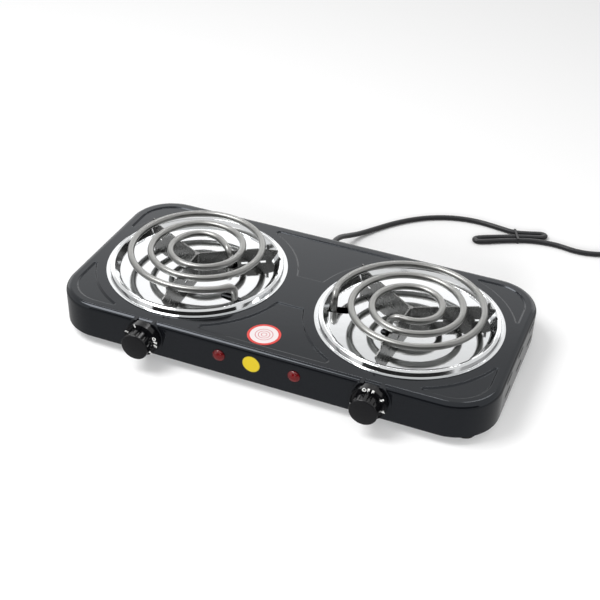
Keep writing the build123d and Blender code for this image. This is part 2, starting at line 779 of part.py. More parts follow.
for side, x in knobs.items():
    axis_line = Axis((x, front_y, knob_z), (0, -1, 0))
    dome_radius, dome_rise = cap_middle(grip_radius, knob_length - grip_length)

    # Knob: skirt, rim, fluted grip and hollow back, turned about its axis
    with BuildPart() as knob:
        with BuildSketch(Plane.XY.offset(knob_z)):
            with BuildLine():
                Polyline(
                    (x + spindle_radius, front_y - bush_front - skirt_gap),
                    (x + boss_radius, front_y - bush_front - skirt_gap),
                    (x + boss_radius, front_y - skirt_front + knob_wall),
                    (x + skirt_radius - knob_wall, front_y - skirt_front + knob_wall),
                    (x + skirt_radius - knob_wall, front_y - skirt_gap),
                    (x + skirt_radius, front_y - skirt_gap),
                    (x + skirt_radius, front_y - skirt_front - rim_height),
                    (x + skirt_radius - rim_width, front_y - skirt_front - rim_height),
                    (x + skirt_radius - 2 * rim_width, front_y - skirt_front),
                    (x + grip_radius, front_y - skirt_front),
                    (x + grip_radius, front_y - grip_length),
                )
                ThreePointArc(
                    (x + grip_radius, front_y - grip_length),
                    (x + dome_radius, front_y - grip_length - dome_rise),
                    (x, front_y - knob_length),
                )
                Polyline(
                    (x, front_y - knob_length),
                    (x, front_y - knob_bore),
                    (x + spindle_radius, front_y - knob_bore),
                    (x + spindle_radius, front_y - bush_front - skirt_gap),
                )
            make_face()
        revolve(axis=axis_line)
        closed_edges = knob.edges().filter_by(lambda edge: edge.is_closed)
        fillet(closed_edges.sort_by(Axis.Y)[0], radius=grip_round)
        with BuildSketch(front_plane(skirt_front)):
            with Locations((x, knob_z)):
                with PolarLocations(
                    grip_radius + flute_radius - flute_depth,
                    flute_count,
                    start_angle=flute_start - knob_turns[side],
                ):
                    Circle(flute_radius)
                Circle(skirt_radius - 2 * rim_width, mode=Mode.INTERSECT)
        extrude(amount=flute_end - skirt_front, mode=Mode.SUBTRACT)
    knob.part.label = f"knob_{side}"
    export_step(knob.part, f"parts/knob_{side}.step")

    # Spindle with a flat for the knob and a collar behind the bush
    with BuildPart() as spindle:
        with BuildSketch(front_plane(spindle_front)):
            with Locations((x, knob_z)):
                Circle(spindle_radius)
        extrude(amount=-(spindle_front - bush_front + bush_length + collar_gap))
        with BuildSketch(front_plane(bush_front - bush_length - collar_gap)):
            with Locations((x, knob_z)):
                Circle(collar_radius)
        extrude(amount=-collar_length)
        with BuildSketch(front_plane(spindle_front)):
            with Locations((x, knob_z + spindle_flat)):
                Rectangle(
                    2 * spindle_radius, spindle_radius, align=(Align.CENTER, Align.MIN)
                )
        extrude(amount=-(clip_length + overcut), mode=Mode.SUBTRACT)
    spindle.part.label = f"spindle_{side}"
    export_step(spindle.part, f"parts/spindle_{side}.step")

    # Spring clip on the spindle's flat, inside the knob's bore
    with BuildPart() as knob_clip:
        with BuildSketch(front_plane(spindle_front)):
            with Locations((x, knob_z + spindle_flat)):
                Rectangle(clip_width, clip_thickness, align=(Align.CENTER, Align.MIN))
        extrude(amount=-clip_length)
    knob_clip.part.label = f"knob_clip_{side}"
    export_step(knob_clip.part, f"parts/knob_clip_{side}.step")

    # Thermostat frame: wall plate, shelf and the bush the spindle turns in
    plate_middle_z = (thermostat_low + thermostat_high) / 2
    with BuildPart() as thermostat_frame:
        with BuildSketch(Plane.XZ.offset(-inner_front_y)):
            with Locations((x, plate_middle_z)):
                Rectangle(thermostat_width, thermostat_high - thermostat_low)
        extrude(amount=-thermostat_plate)
        with BuildSketch(Plane.XY.offset(thermostat_low)):
            with Locations((x, inner_front_y)):
                Rectangle(
                    thermostat_width / 2, thermostat_depth, align=(Align.CENTER, Align.MIN)
                )
        extrude(amount=thermostat_plate)
        with BuildSketch(front_plane(bush_front)):
            with Locations((x, knob_z)):
                Circle(bush_radius)
        extrude(amount=-bush_length)
        with BuildSketch(front_plane(bush_front + overcut)):
            with Locations((x, knob_z)):
                Circle(spindle_radius + running_clearance)
                with GridLocations(thermostat_screw_pitch, 0, 2, 1):
                    Circle(small_screw_radius)
        extrude(amount=-(bush_length + 2 * overcut), mode=Mode.SUBTRACT)
    thermostat_frame.part.label = f"thermostat_frame_{side}"
    export_step(thermostat_frame.part, f"parts/thermostat_frame_{side}.step")

    # Ceramic rings and contact blades stacked on the shelf
    stack_y = inner_front_y + stack_setback
    shelf_top_z = thermostat_low + thermostat_plate
    level_pitch = stack_ring + blade_thickness
    with BuildPart() as stack:
        for level in range(blade_count + 1):
            with Locations((x, stack_y, shelf_top_z + level * level_pitch)):
                Cylinder(stack_radius, stack_ring, align=(Align.CENTER, Align.CENTER, Align.MIN))
    stack.part.label = f"thermostat_stack_{side}"
    export_step(stack.part, f"parts/thermostat_stack_{side}.step")

    with BuildPart() as blades:
        for level in range(blade_count):
            with Locations((x, stack_y, shelf_top_z + stack_ring + level * level_pitch)):
                Box(
                    blade_length,
                    blade_width,
                    blade_thickness,
                    align=(Align.CENTER, Align.CENTER, Align.MIN),
                )
    blades.part.label = f"thermostat_blades_{side}"
    export_step(blades.part, f"parts/thermostat_blades_{side}.step")

with BuildPart() as thermostat_screws:
    screw_places = [
        (x + half * thermostat_screw_pitch, knob_z) for x in knobs.values() for half in (-0.5, 0.5)
    ]
    with BuildSketch(front_plane()):
        with Locations(*screw_places):
            Circle(small_head_radius)
    extrude(amount=small_head_height)
    with BuildSketch(front_plane()):
        with Locations(*screw_places):
            Circle(small_screw_radius)
    extrude(amount=-(sheet + thermostat_plate + overcut))
thermostat_screws.part.label = "thermostat_screws"
export_step(thermostat_screws.part, "parts/thermostat_screws.step")

# ---------------------------------------------------------------- pilot lamps
for side, x in lamps.items():
    lamp_axis = Axis((x, front_y, lamp_z), (0, -1, 0))

    with BuildPart() as lens:
        with BuildSketch(Plane.XY.offset(lamp_z)):
            with BuildLine():
                bore = lens_neck_radius - lens_wall
                rim_rise = lens_rim_height
                cap_radius, cap_rise = cap_middle(lens_radius, lens_rise - rim_rise)
                Polyline(
                    (x, front_y - lens_wall),
                    (x + bore, front_y - lens_wall),
                    (x + bore, front_y + lens_neck_length),
                    (x + lens_neck_radius, front_y + lens_neck_length),
                    (x + lens_neck_radius, front_y),
                    (x + lens_radius, front_y),
                    (x + lens_radius, front_y - rim_rise),
                )
                ThreePointArc(
                    (x + lens_radius, front_y - rim_rise),
                    (x + cap_radius, front_y - rim_rise - cap_rise),
                    (x, front_y - lens_rise),
                )
                Line((x, front_y - lens_rise), (x, front_y - lens_wall))
            make_face()
        revolve(axis=lamp_axis)
    lens.part.label = f"lamp_lens_{side}"
    export_step(lens.part, f"parts/lamp_lens_{side}.step")

    with BuildPart() as lamp_body:
        with BuildSketch(front_plane(-lens_neck_length)):
            with Locations((x, lamp_z)):
                Circle(lamp_body_radius)
        extrude(amount=-lamp_body_length)
        with BuildSketch(front_plane(-lens_neck_length)):
            with Locations((x, lamp_z)):
                Circle(lamp_snout_radius)
        extrude(amount=lens_neck_length)
    lamp_body.part.label = f"lamp_body_{side}"
    export_step(lamp_body.part, f"parts/lamp_body_{side}.step")

with BuildPart() as lamp_clips:
    with BuildSketch(front_plane(-sheet)):
        with Locations((-lamp_x, lamp_z), (lamp_x, lamp_z)):
            Circle(lamp_clip_radius)
            Circle(lens_neck_radius, mode=Mode.SUBTRACT)
    extrude(amount=-lamp_clip_thickness)
lamp_clips.part.label = "lamp_clips"
export_step(lamp_clips.part, "parts/lamp_clips.step")

# ---------------------------------------------------------------- labels
with BuildPart() as round_label:
    with BuildSketch(Plane.XY.offset(floor_level)):
        with Locations((round_label_x, round_label_y)):
            Circle(round_label_radius)
    extrude(amount=label_thickness)
round_label.part.label = "round_label"
export_step(round_label.part, "parts/round_label.step")

with BuildPart() as front_label:
    with BuildSketch(front_plane()):
        with Locations((front_label_x, front_label_z)):
            Circle(front_label_radius)
    extrude(amount=label_thickness)
front_label.part.label = "front_label"
export_step(front_label.part, "parts/front_label.step")

# ---------------------------------------------------------------- terminal block and clamp
with BuildPart() as terminal_block:
    with Locations((block_x, block_y, plate_top_z)):
        Box(
            block_length,
            block_width,
            block_height,
            align=(Align.CENTER, Align.CENTER, Align.MIN),
        )
    fillet(terminal_block.edges().filter_by(Axis.Z), radius=block_corner)
terminal_block.part.label = "terminal_block"
export_step(terminal_block.part, "parts/terminal_block.step")

with BuildPart() as block_screws:
    with Locations((block_x, block_y, plate_top_z + block_height)):
        with GridLocations(block_pole_pitch, block_width / 2, block_poles, 2):
            Cylinder(
                block_screw_radius,
                block_screw_height,
                align=(Align.CENTER, Align.CENTER, Align.MIN),
            )
block_screws.part.label = "terminal_block_screws"
export_step(block_screws.part, "parts/terminal_block_screws.step")

cord_radius = cord_diameter / 2
clamp_y = back_y - sleeve_flange_width - clamp_width - sheet
with BuildPart() as clamp_base:
    with Locations((cord_exit_x, clamp_y, plate_top_z)):
        Box(
            clamp_length,
            clamp_width,
            cord_exit_z - plate_top_z,
            align=(Align.CENTER, Align.CENTER, Align.MIN),
        )
    with BuildSketch(Plane.XZ.offset(-back_y)):
        with Locations((cord_exit_x, cord_exit_z)):
            Circle(cord_radius)
    extrude(amount=3 * clamp_width, mode=Mode.SUBTRACT)
clamp_base.part.label = "cord_clamp_base"
export_step(clamp_base.part, "parts/cord_clamp_base.step")

with BuildPart() as clamp_cap:
    with Locations((cord_exit_x, clamp_y, cord_exit_z)):
        Box(
            clamp_length,
            clamp_width,
            clamp_bar,
            align=(Align.CENTER, Align.CENTER, Align.MIN),
        )
    with BuildSketch(Plane.XZ.offset(-back_y)):
        with Locations((cord_exit_x, cord_exit_z)):
            Circle(cord_radius)
    extrude(amount=3 * clamp_width, mode=Mode.SUBTRACT)
clamp_cap.part.label = "cord_clamp"
export_step(clamp_cap.part, "parts/cord_clamp.step")

with BuildPart() as clamp_screws:
    with Locations((cord_exit_x, clamp_y, cord_exit_z + clamp_bar)):
        with GridLocations(clamp_length - 2 * small_head_radius, 0, 2, 1):
            Cylinder(
                small_head_radius,
                small_head_height,
                align=(Align.CENTER, Align.CENTER, Align.MIN),
            )
clamp_screws.part.label = "cord_clamp_screws"
export_step(clamp_screws.part, "parts/cord_clamp_screws.step")

# ---------------------------------------------------------------- cord sleeve and inner cord end
with BuildPart() as cord_sleeve:
    sleeve_start = back_y + sleeve_flange_width
    sleeve_end = back_y + sleeve_length
    with BuildSketch(Plane.XY.offset(cord_exit_z)):
        with BuildLine():
            Polyline(
                (cord_exit_x + cord_radius, back_y - sheet - sleeve_flange_width),
                (cord_exit_x + sleeve_inner_flange_radius, back_y - sheet - sleeve_flange_width),
                (cord_exit_x + sleeve_inner_flange_radius, back_y - sheet),
                (cord_exit_x + sleeve_hole_radius, back_y - sheet),
                (cord_exit_x + sleeve_hole_radius, back_y),
                (cord_exit_x + sleeve_flange_radius, back_y),
                (cord_exit_x + sleeve_flange_radius, sleeve_start),
                (cord_exit_x + sleeve_root_radius, sleeve_start),
                (cord_exit_x + sleeve_tip_radius, sleeve_end),
                (cord_exit_x + cord_radius, sleeve_end),
                close=True,
            )
        make_face()
    revolve(axis=Axis((cord_exit_x, 0, cord_exit_z), (0, 1, 0)))
cord_sleeve.part.label = "cord_sleeve"
export_step(cord_sleeve.part, "parts/cord_sleeve.step")

with BuildPart() as cord_inner_end:
    with BuildSketch(Plane.XZ.offset(-sleeve_end)):
        with Locations((cord_exit_x, cord_exit_z)):
            Circle(cord_radius)
    extrude(amount=sleeve_length + cord_inner_length)
cord_inner_end.part.label = "cord_inner_end"
export_step(cord_inner_end.part, "parts/cord_inner_end.step")


# ---------------------------------------------------------------- cords and wires
def corner_radii(points, share=0.45):
    """The arc at each inner point, as large as its two runs allow."""
    vectors = [Vector(*point) for point in points]
    radii = []
    for before, here, after in zip(vectors, vectors[1:], vectors[2:]):
        run_in = here - before
        run_out = after - here
        half_turn = radians(run_in.get_angle(run_out)) / 2
        radii.append(share * min(run_in.length, run_out.length) / tan(half_turn))
    return radii


def tube_along(points, radius):
    """A solid round tube of straight runs joined by tangent arcs."""
    start = Vector(*points[0])
    heading = Vector(*points[1]) - start
    with BuildPart() as tube:
        with BuildLine() as line:
            FilletPolyline(*points, radius=corner_radii(points))
        with BuildSketch(Plane(start, z_dir=heading)):
            Circle(radius)
        sweep(path=line.wire())
    return tube.part, line.wire().length


def report_cord(name, points, part, length, radius):
    """Print a cord's radii and compare its volume with its section times its length."""
    radii = ", ".join(f"{value:.0f}" for value in corner_radii(points))
    section = pi * radius * radius
    print(f"{name}: length {length:.1f}, radii {radii}")
    print(f"{name}: volume {part.volume:.1f}, section x length {section * length:.1f}")


# Every place on the cord's way is given by its distance behind the sleeve's end.
# The first stretch drops from the sleeve to the table and runs back and to the right.
power_cord_points = [
    (cord_exit_x, sleeve_end, cord_exit_z),
    (cord_exit_x, sleeve_end + 14.0, cord_exit_z),
    (-16.5, sleeve_end + 29.5, 16.5),
    (-12.5, sleeve_end + 45.5, 10.0),
    (-5.0, sleeve_end + 62.5, 5.0),
    (8.0, sleeve_end + 84.5, 3.0),
    (26.0, sleeve_end + 108.5, 3.0),
    (50.0, sleeve_end + 130.5, 3.0),
    (79.0, sleeve_end + 145.5, 3.0),
    (109.0, sleeve_end + 150.5, 3.0),
    (138.0, sleeve_end + 146.5, 3.0),
]
power_cord, power_cord_length = tube_along(power_cord_points, cord_radius)
power_cord.label = "power_cord"
export_step(power_cord, "parts/power_cord.step")
report_cord("power_cord", power_cord_points, power_cord, power_cord_length, cord_radius)

# Three runs of cord folded flat and tied: a long loop to the left, a short one to the right.
hank_outline = [
    (119.0, sleeve_end + 108.0),
    (128.0, sleeve_end + 108.0),
    (150.0, sleeve_end + 119.0),
    (166.0, sleeve_end + 127.0),
    (188.0, sleeve_end + 134.0),
    (191.0, sleeve_end + 139.0),
    (194.0, sleeve_end + 152.5),
    (190.0, sleeve_end + 157.0),
    (172.0, sleeve_end + 151.0),
    (160.0, sleeve_end + 146.5),
    (137.5, sleeve_end + 149.5),
    (136.5, sleeve_end + 143.5),
    (152.0, sleeve_end + 139.5),
    (141.0, sleeve_end + 131.5),
    (115.5, sleeve_end + 115.5),
    (115.0, sleeve_end + 111.0),
]
with BuildPart() as cord_hank:
    with BuildSketch():
        with BuildLine():
            Polyline(*hank_outline, close=True)
        make_face()
    extrude(amount=cord_diameter)
cord_hank.part.label = "cord_hank"
export_step(cord_hank.part, "parts/cord_hank.step")

tie_plane = Plane(Location((161.0, sleeve_end + 136.0, 0), (0, 0, tie_angle)))
with BuildPart() as cord_tie:
    with BuildSketch(tie_plane):
        Rectangle(tie_width, tie_span)
    extrude(amount=cord_diameter + tie_thickness)
    add(cord_hank.part, mode=Mode.SUBTRACT)
cord_tie.part.label = "cord_tie"
export_step(cord_tie.part, "parts/cord_tie.step")

# From the hank to the coil
coil_centre = Vector(315.0, sleeve_end + 131.5)
coil_entry = coil_centre + direction(coil_entry_angle) * coil_mid_radius
cord_run_points = [
    (188.0, sleeve_end + 137.1, 3.0),
    (209.0, sleeve_end + 137.9, 3.0),
    (229.5, sleeve_end + 133.1, 3.0),
    (247.0, sleeve_end + 135.0, 3.0),
    (264.0, sleeve_end + 141.3, 3.0),
    (281.0, sleeve_end + 149.7, 3.0),
    (coil_entry.X, coil_entry.Y, 3.0),
]
cord_run, cord_run_length = tube_along(cord_run_points, cord_radius)
cord_run.label = "cord_run"
export_step(cord_run, "parts/cord_run.step")
report_cord("cord_run", cord_run_points, cord_run, cord_run_length, cord_radius)

coil_stack_height = (coil_turns + 1) * cord_diameter
with BuildPart() as cord_coil:
    with BuildSketch():
        with Locations(coil_centre):
            Circle(coil_mid_radius + cord_radius)
            Circle(coil_mid_radius - cord_radius, mode=Mode.SUBTRACT)
    extrude(amount=coil_stack_height)
cord_coil.part.label = "cord_coil"
export_step(cord_coil.part, "parts/cord_coil.step")

# The tail leaves the top turn and drops to the plug
plug_z = plug_height / 2
coil_exit = coil_centre + direction(coil_exit_angle) * coil_mid_radius
tail_points = [
    (coil_exit.X, coil_exit.Y, coil_stack_height - cord_radius),
    (349.5, sleeve_end + 150.1, 14.6),
    (368.0, sleeve_end + 141.5, 12.2),
    (387.0, sleeve_end + 135.5, plug_z),
    (406.0, sleeve_end + 131.5, plug_z),
]
cord_tail, cord_tail_length = tube_along(tail_points, cord_radius)
cord_tail.label = "cord_tail"
export_step(cord_tail, "parts/cord_tail.step")
report_cord("cord_tail", tail_points, cord_tail, cord_tail_length, cord_radius)

# ---------------------------------------------------------------- plug
plug_start = Vector(*tail_points[-1])
plug_heading = (plug_start - Vector(*tail_points[-2])).normalized()
plug_plane = Plane(plug_start, x_dir=(-plug_heading.Y, plug_heading.X, 0), z_dir=plug_heading)
with BuildPart() as plug_body:
    with BuildSketch(plug_plane):
        Circle(cord_radius + plug_sleeve_start)
    with BuildSketch(plug_plane.offset(tail_sleeve_length)):
        Circle(cord_radius + plug_sleeve_end)
    loft()
    with BuildSketch(plug_plane.offset(tail_sleeve_length)):
        RectangleRounded(plug_width, plug_height, plug_corner)
    extrude(amount=plug_length)
plug_body.part.label = "plug_body"
export_step(plug_body.part, "parts/plug_body.step")

plug_face = plug_plane.offset(tail_sleeve_length + plug_length)
with BuildPart() as plug_blades:
    with BuildSketch(plug_face):
        with Locations((-blade_pitch / 2, plug_pin_rise), (blade_pitch / 2, plug_pin_rise)):
            Rectangle(plug_blade_thickness, plug_blade_width)
    extrude(amount=plug_blade_length)
plug_blades.part.label = "plug_blades"
export_step(plug_blades.part, "parts/plug_blades.step")

with BuildPart() as plug_ground_pin:
    with BuildSketch(plug_face):
        with Locations((0, -ground_drop)):
            Circle(ground_radius)
    extrude(amount=ground_length)
    fillet(plug_ground_pin.faces().sort_by(Axis.X)[-1].edges(), radius=ground_round)
plug_ground_pin.part.label = "plug_ground_pin"
export_step(plug_ground_pin.part, "parts/plug_ground_pin.step")

# ---------------------------------------------------------------- wires inside the body
block_front = block_y - block_width / 2
pin_end_z = leg_end_z - pin_length


def leg_points(side):
    """Where one burner's inner and outer terminal pins end."""
    centre = Vector(burners[side], 0)
    return centre + coil_paths[side].inner_leg, centre + coil_paths[side].outer_leg


def wire_group(name, routes):
    """Write one node of separate insulated wires, each along its own route."""
    with BuildPart() as group:
        for route in routes:
            tube, _ = tube_along(route, wire_radius)
            add(tube)
    group.part.label = name
    export_step(group.part, f"parts/{name}.step")


# Each group keeps to a level of its own above the base plate.
neutral_level = plate_top_z + 1.7
live_level = neutral_level + 2 * wire_radius + wire_gap
switched_level = live_level + 2 * wire_radius + wire_gap
blade_tip = blade_length / 2
first_blade_z = shelf_top_z + stack_ring + blade_thickness / 2
sides = {"left": -1, "right": 1}

neutral_routes = []
live_routes = []
switched_routes = []
for side, sign in sides.items():
    inner_pin, outer_pin = leg_points(side)
    pole_x = block_x + sign * block_pole_pitch
    neutral_routes.append(
        [
            (pole_x, block_front, neutral_level),
            (pole_x, block_front - 16, neutral_level),
            (inner_pin.X - sign * 12, inner_pin.Y + 14, neutral_level),
            (inner_pin.X, inner_pin.Y, neutral_level + 1),
            (inner_pin.X, inner_pin.Y, pin_end_z),
        ]
    )
    tip_x = knobs[side] - sign * (blade_tip + wire_radius)
    live_routes.append(
        [
            (pole_x - sign * 4, block_front, live_level),
            (pole_x - sign * 4, block_front - 20, live_level),
            (sign * 30, -40, live_level),
            (tip_x, stack_y + 20, live_level),
            (tip_x, stack_y, live_level + 1.5),
            (tip_x, stack_y, first_blade_z + 2 * level_pitch),
        ]
    )
    switched_routes.append(
        [
            (tip_x - sign * 4, stack_y, first_blade_z),
            (tip_x - sign * 12, stack_y, first_blade_z - 0.5),
            (outer_pin.X, outer_pin.Y - 14, switched_level),
            (outer_pin.X, outer_pin.Y, switched_level + 0.5),
            (outer_pin.X, outer_pin.Y, pin_end_z),
        ]
    )
wire_group("neutral_wires", neutral_routes)
wire_group("live_wires", live_routes)
wire_group("switched_wires", switched_routes)
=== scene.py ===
import logging
import math
from dataclasses import dataclass, field
from enum import Enum

import bmesh
import bpy
from mathutils import Matrix, Vector


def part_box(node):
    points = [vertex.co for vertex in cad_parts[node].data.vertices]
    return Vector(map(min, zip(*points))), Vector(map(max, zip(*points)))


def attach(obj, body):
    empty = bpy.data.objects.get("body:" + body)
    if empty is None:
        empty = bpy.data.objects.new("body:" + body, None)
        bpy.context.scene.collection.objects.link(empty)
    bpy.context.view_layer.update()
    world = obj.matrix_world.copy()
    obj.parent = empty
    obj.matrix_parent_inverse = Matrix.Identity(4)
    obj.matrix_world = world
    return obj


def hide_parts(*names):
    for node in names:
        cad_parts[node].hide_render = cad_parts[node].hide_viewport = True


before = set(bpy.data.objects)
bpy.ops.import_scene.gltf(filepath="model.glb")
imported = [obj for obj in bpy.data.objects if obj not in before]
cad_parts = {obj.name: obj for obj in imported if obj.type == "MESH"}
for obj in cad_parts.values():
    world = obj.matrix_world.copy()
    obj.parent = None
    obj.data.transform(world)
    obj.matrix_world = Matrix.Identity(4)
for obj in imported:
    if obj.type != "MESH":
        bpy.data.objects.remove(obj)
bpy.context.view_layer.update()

log = logging.getLogger("hot_plate")
MM = 0.001
WELD = 1e-6  # points nearer than this become one, metres
UP = Vector((0, 0, 1))


# ---------------------------------------------------------------- small helpers
def linear(hex_colour: str) -> tuple[float, float, float, float]:
    """Turns an sRGB hex colour into linear RGBA.

    Args:
        hex_colour: Six hex digits, such as "1c1c1e".

    Returns:
        Linear red, green and blue, with an alpha of 1.
    """
    channels = [int(hex_colour[i : i + 2], 16) / 255 for i in (0, 2, 4)]
    out = [c / 12.92 if c <= 0.04045 else ((c + 0.055) / 1.055) ** 2.4 for c in channels]
    return (*out, 1.0)


def add_node(
    tree: bpy.types.NodeTree, kind: str, inputs: dict | None = None, **settings: object
) -> bpy.types.Node:
    """Adds one node with its settings, and with values or links on its inputs.

    Args:
        tree: The node tree that gets the node.
        kind: The node's type name.
        inputs: Input name or index to a value, or to the socket that feeds it.
        settings: The node's own properties.

    Returns:
        The new node.
    """
    node = tree.nodes.new(kind)
    for name, value in settings.items():
        setattr(node, name, value)
    for key, value in (inputs or {}).items():
        if isinstance(value, bpy.types.NodeSocket):
            tree.links.new(value, node.inputs[key])
        else:
            node.inputs[key].default_value = value
    return node


def mesh_object(name: str, bm: bmesh.types.BMesh, smooth_angle: float = 35.0) -> bpy.types.Object:
    """Makes a finished object at the origin from a bmesh, shaded smooth below an angle.

    Args:
        name: The piece's name.
        bm: Its mesh, in the row frame. It is freed.
        smooth_angle: Edges sharper than this, in degrees, stay sharp.

    Returns:
        The linked object.
    """
    bmesh.ops.remove_doubles(bm, verts=bm.verts, dist=WELD)
    bmesh.ops.recalc_face_normals(bm, faces=bm.faces)
    for edge in bm.edges:
        edge.smooth = edge.calc_face_angle(0.0) < math.radians(smooth_angle)
    for face in bm.faces:
        face.smooth = True
    mesh = bpy.data.meshes.new(name)
    bm.to_mesh(mesh)
    bm.free()
    piece = bpy.data.objects.new(name, mesh)
    bpy.context.scene.collection.objects.link(piece)
    return piece


def turned(
    outline: list[tuple[float, float]], origin: Vector, axis: Vector, steps: int = 48
) -> bmesh.types.BMesh:
    """Spins a closed outline of radius and height about an axis into a ring.

    Args:
        outline: Radius and height of each point, in order round the section.
        origin: Where height is zero on the axis.
        axis: The direction in which height grows.
        steps: How many steps make the full turn.

    Returns:
        The spun mesh, in the row frame.
    """
    bm = bmesh.new()
    points = [bm.verts.new((radius, 0.0, height)) for radius, height in outline]
    for first, second in zip(points, [*points[1:], points[0]]):
        bm.edges.new((first, second))
    bmesh.ops.spin(
        bm,
        geom=bm.verts[:] + bm.edges[:],
        cent=(0, 0, 0),
        axis=UP,
        angle=math.tau,
        steps=steps,
        use_merge=True,
    )
    bmesh.ops.remove_doubles(bm, verts=bm.verts, dist=WELD)
    turn = UP.rotation_difference(axis).to_matrix().to_4x4()
    bmesh.ops.transform(bm, matrix=Matrix.Translation(origin) @ turn, verts=bm.verts)
    return bm


def join(whole: bmesh.types.BMesh, part: bmesh.types.BMesh) -> None:
    """Adds one mesh to another and frees it.

    Args:
        whole: The mesh that grows.
        part: The mesh that is added.
    """
    mesh = bpy.data.meshes.new("part")
    part.to_mesh(mesh)
    part.free()
    whole.from_mesh(mesh)
    bpy.data.meshes.remove(mesh)


# ---------------------------------------------------------------- finishes
NOISE_FALLOFF = 0.55  # how much each finer octave of noise counts
NOISE_BULK = (0.3, 0.7)  # where most of the noise's values lie
CLOUD_DETAIL = 4.0
WEAR_DETAIL = 5.0
GRAIN_DETAIL = 3.0
WEAR_SHARE = 0.25  # size of the roughness's wandering, as a share of the clouding


@dataclass(frozen=True)
class Finish:
    """A surface finish: base colours, shine, and a fine relief at a real size.

    Attributes:
        name: The material's name, after what it really is.
        colour: The main colour, sRGB hex.
        mottle: A second colour that clouds it, sRGB hex.
        metallic: 1 for bare metal.
        roughness: The mean roughness.
        roughness_spread: How far roughness wanders from the mean.
        ior: Index of refraction, for what isn't metal.
        specular: Specular level, 0.5 for the index of refraction's own.
        painted_reflection_tint: A colour painted onto plain reflections, sRGB hex; white leaves
            them untinted.
        grain_mm: Size of the relief's grain.
        relief_mm: Height of the relief.
        cloud_mm: Size of the colour's clouding.
    """

    name: str
    colour: str
    mottle: str
    metallic: float = 0.0
    roughness: float = 0.4
    roughness_spread: float = 0.05
    ior: float = 1.5
    specular: float = 0.5
    painted_reflection_tint: str = "ffffff"
    grain_mm: float = 0.6
    relief_mm: float = 0.01
    cloud_mm: float = 30.0

    def build(self) -> bpy.types.Material:
        """Makes the material.

        Returns:
            The new material, on Object coordinates.
        """
        material = bpy.data.materials.new(self.name)
        material.use_nodes = True
        tree = material.node_tree
        tree.nodes.clear()
        place = add_node(tree, "ShaderNodeTexCoord").outputs["Object"]
        shader = add_node(
            tree,
            "ShaderNodeBsdfPrincipled",
            {
                "Base Color": self.colour_socket(tree, place),
                "Roughness": self.roughness_socket(tree, place),
                "Normal": self.normal_socket(tree, place),
                "Metallic": self.metallic,
                "Specular IOR Level": self.specular,
                # Plain reflections take a painted tint here; white leaves them untinted.
                "Specular Tint": linear(self.painted_reflection_tint),
            },
        )
        if not self.metallic:
            shader.inputs["IOR"].default_value = self.ior
        self.extra(tree, shader)
        add_node(tree, "ShaderNodeOutputMaterial", {"Surface": shader.outputs[0]})
        return material

    def noise(
        self, tree: bpy.types.NodeTree, place: bpy.types.NodeSocket, size_mm: float, detail: float
    ) -> bpy.types.NodeSocket:
        """Adds noise whose features are about size_mm across.

        Args:
            tree: The material's tree.
            place: The coordinates.
            size_mm: Feature size in millimetres.
            detail: Octaves of finer noise.

        Returns:
            The noise factor.
        """
        node = add_node(
            tree,
            "ShaderNodeTexNoise",
            {
                "Vector": place,
                "Scale": 1 / (size_mm * MM),
                "Detail": detail,
                "Roughness": NOISE_FALLOFF,
            },
        )
        return node.outputs[0]

    def colour_socket(
        self, tree: bpy.types.NodeTree, place: bpy.types.NodeSocket
    ) -> bpy.types.NodeSocket:
        """Clouds the main colour with the second one.

        Args:
            tree: The material's tree.
            place: The coordinates.

        Returns:
            The colour.
        """
        mix = add_node(
            tree,
            "ShaderNodeMix",
            {
                0: self.noise(tree, place, self.cloud_mm, CLOUD_DETAIL),
                6: linear(self.colour),
                7: linear(self.mottle),
            },
            data_type="RGBA",
        )
        return mix.outputs[2]

    def roughness_socket(
        self, tree: bpy.types.NodeTree, place: bpy.types.NodeSocket
    ) -> bpy.types.NodeSocket:
        """Lets roughness wander about its mean, as handling and wear do.

        Args:
            tree: The material's tree.
            place: The coordinates.

        Returns:
            The roughness.
        """
        spread = add_node(
            tree,
            "ShaderNodeMapRange",
            {
                "Value": self.noise(tree, place, self.cloud_mm * WEAR_SHARE, WEAR_DETAIL),
                "From Min": NOISE_BULK[0],
                "From Max": NOISE_BULK[1],
                "To Min": max(0.0, self.roughness - self.roughness_spread),
                "To Max": self.roughness + self.roughness_spread,
            },
        )
        return spread.outputs[0]

    def normal_socket(
        self, tree: bpy.types.NodeTree, place: bpy.types.NodeSocket
    ) -> bpy.types.NodeSocket:
        """Adds the fine relief.

        Args:
            tree: The material's tree.
            place: The coordinates.

        Returns:
            The bumped normal.
        """
        bump = add_node(
            tree,
            "ShaderNodeBump",
            {
                "Height": self.noise(tree, place, self.grain_mm, GRAIN_DETAIL),
                "Distance": self.relief_mm * MM,
                "Strength": 1.0,
            },
        )
        return bump.outputs[0]

    def extra(self, tree: bpy.types.NodeTree, shader: bpy.types.Node) -> None:
        """Sets what only one kind of finish needs; nothing here.

        Args:
            tree: The material's tree.
            shader: The shader node.
        """


@dataclass(frozen=True)
class ClearRed(Finish):
    """Translucent red polycarbonate, lit through by what is behind it.

    Attributes:
        transmission: The share of light that passes.
    """

    transmission: float = 0.55

    def extra(self, tree: bpy.types.NodeTree, shader: bpy.types.Node) -> None:
        """Lets light through.

        Args:
            tree: The material's tree.
            shader: The shader node.
        """
        shader.inputs["Transmission Weight"].default_value = self.transmission


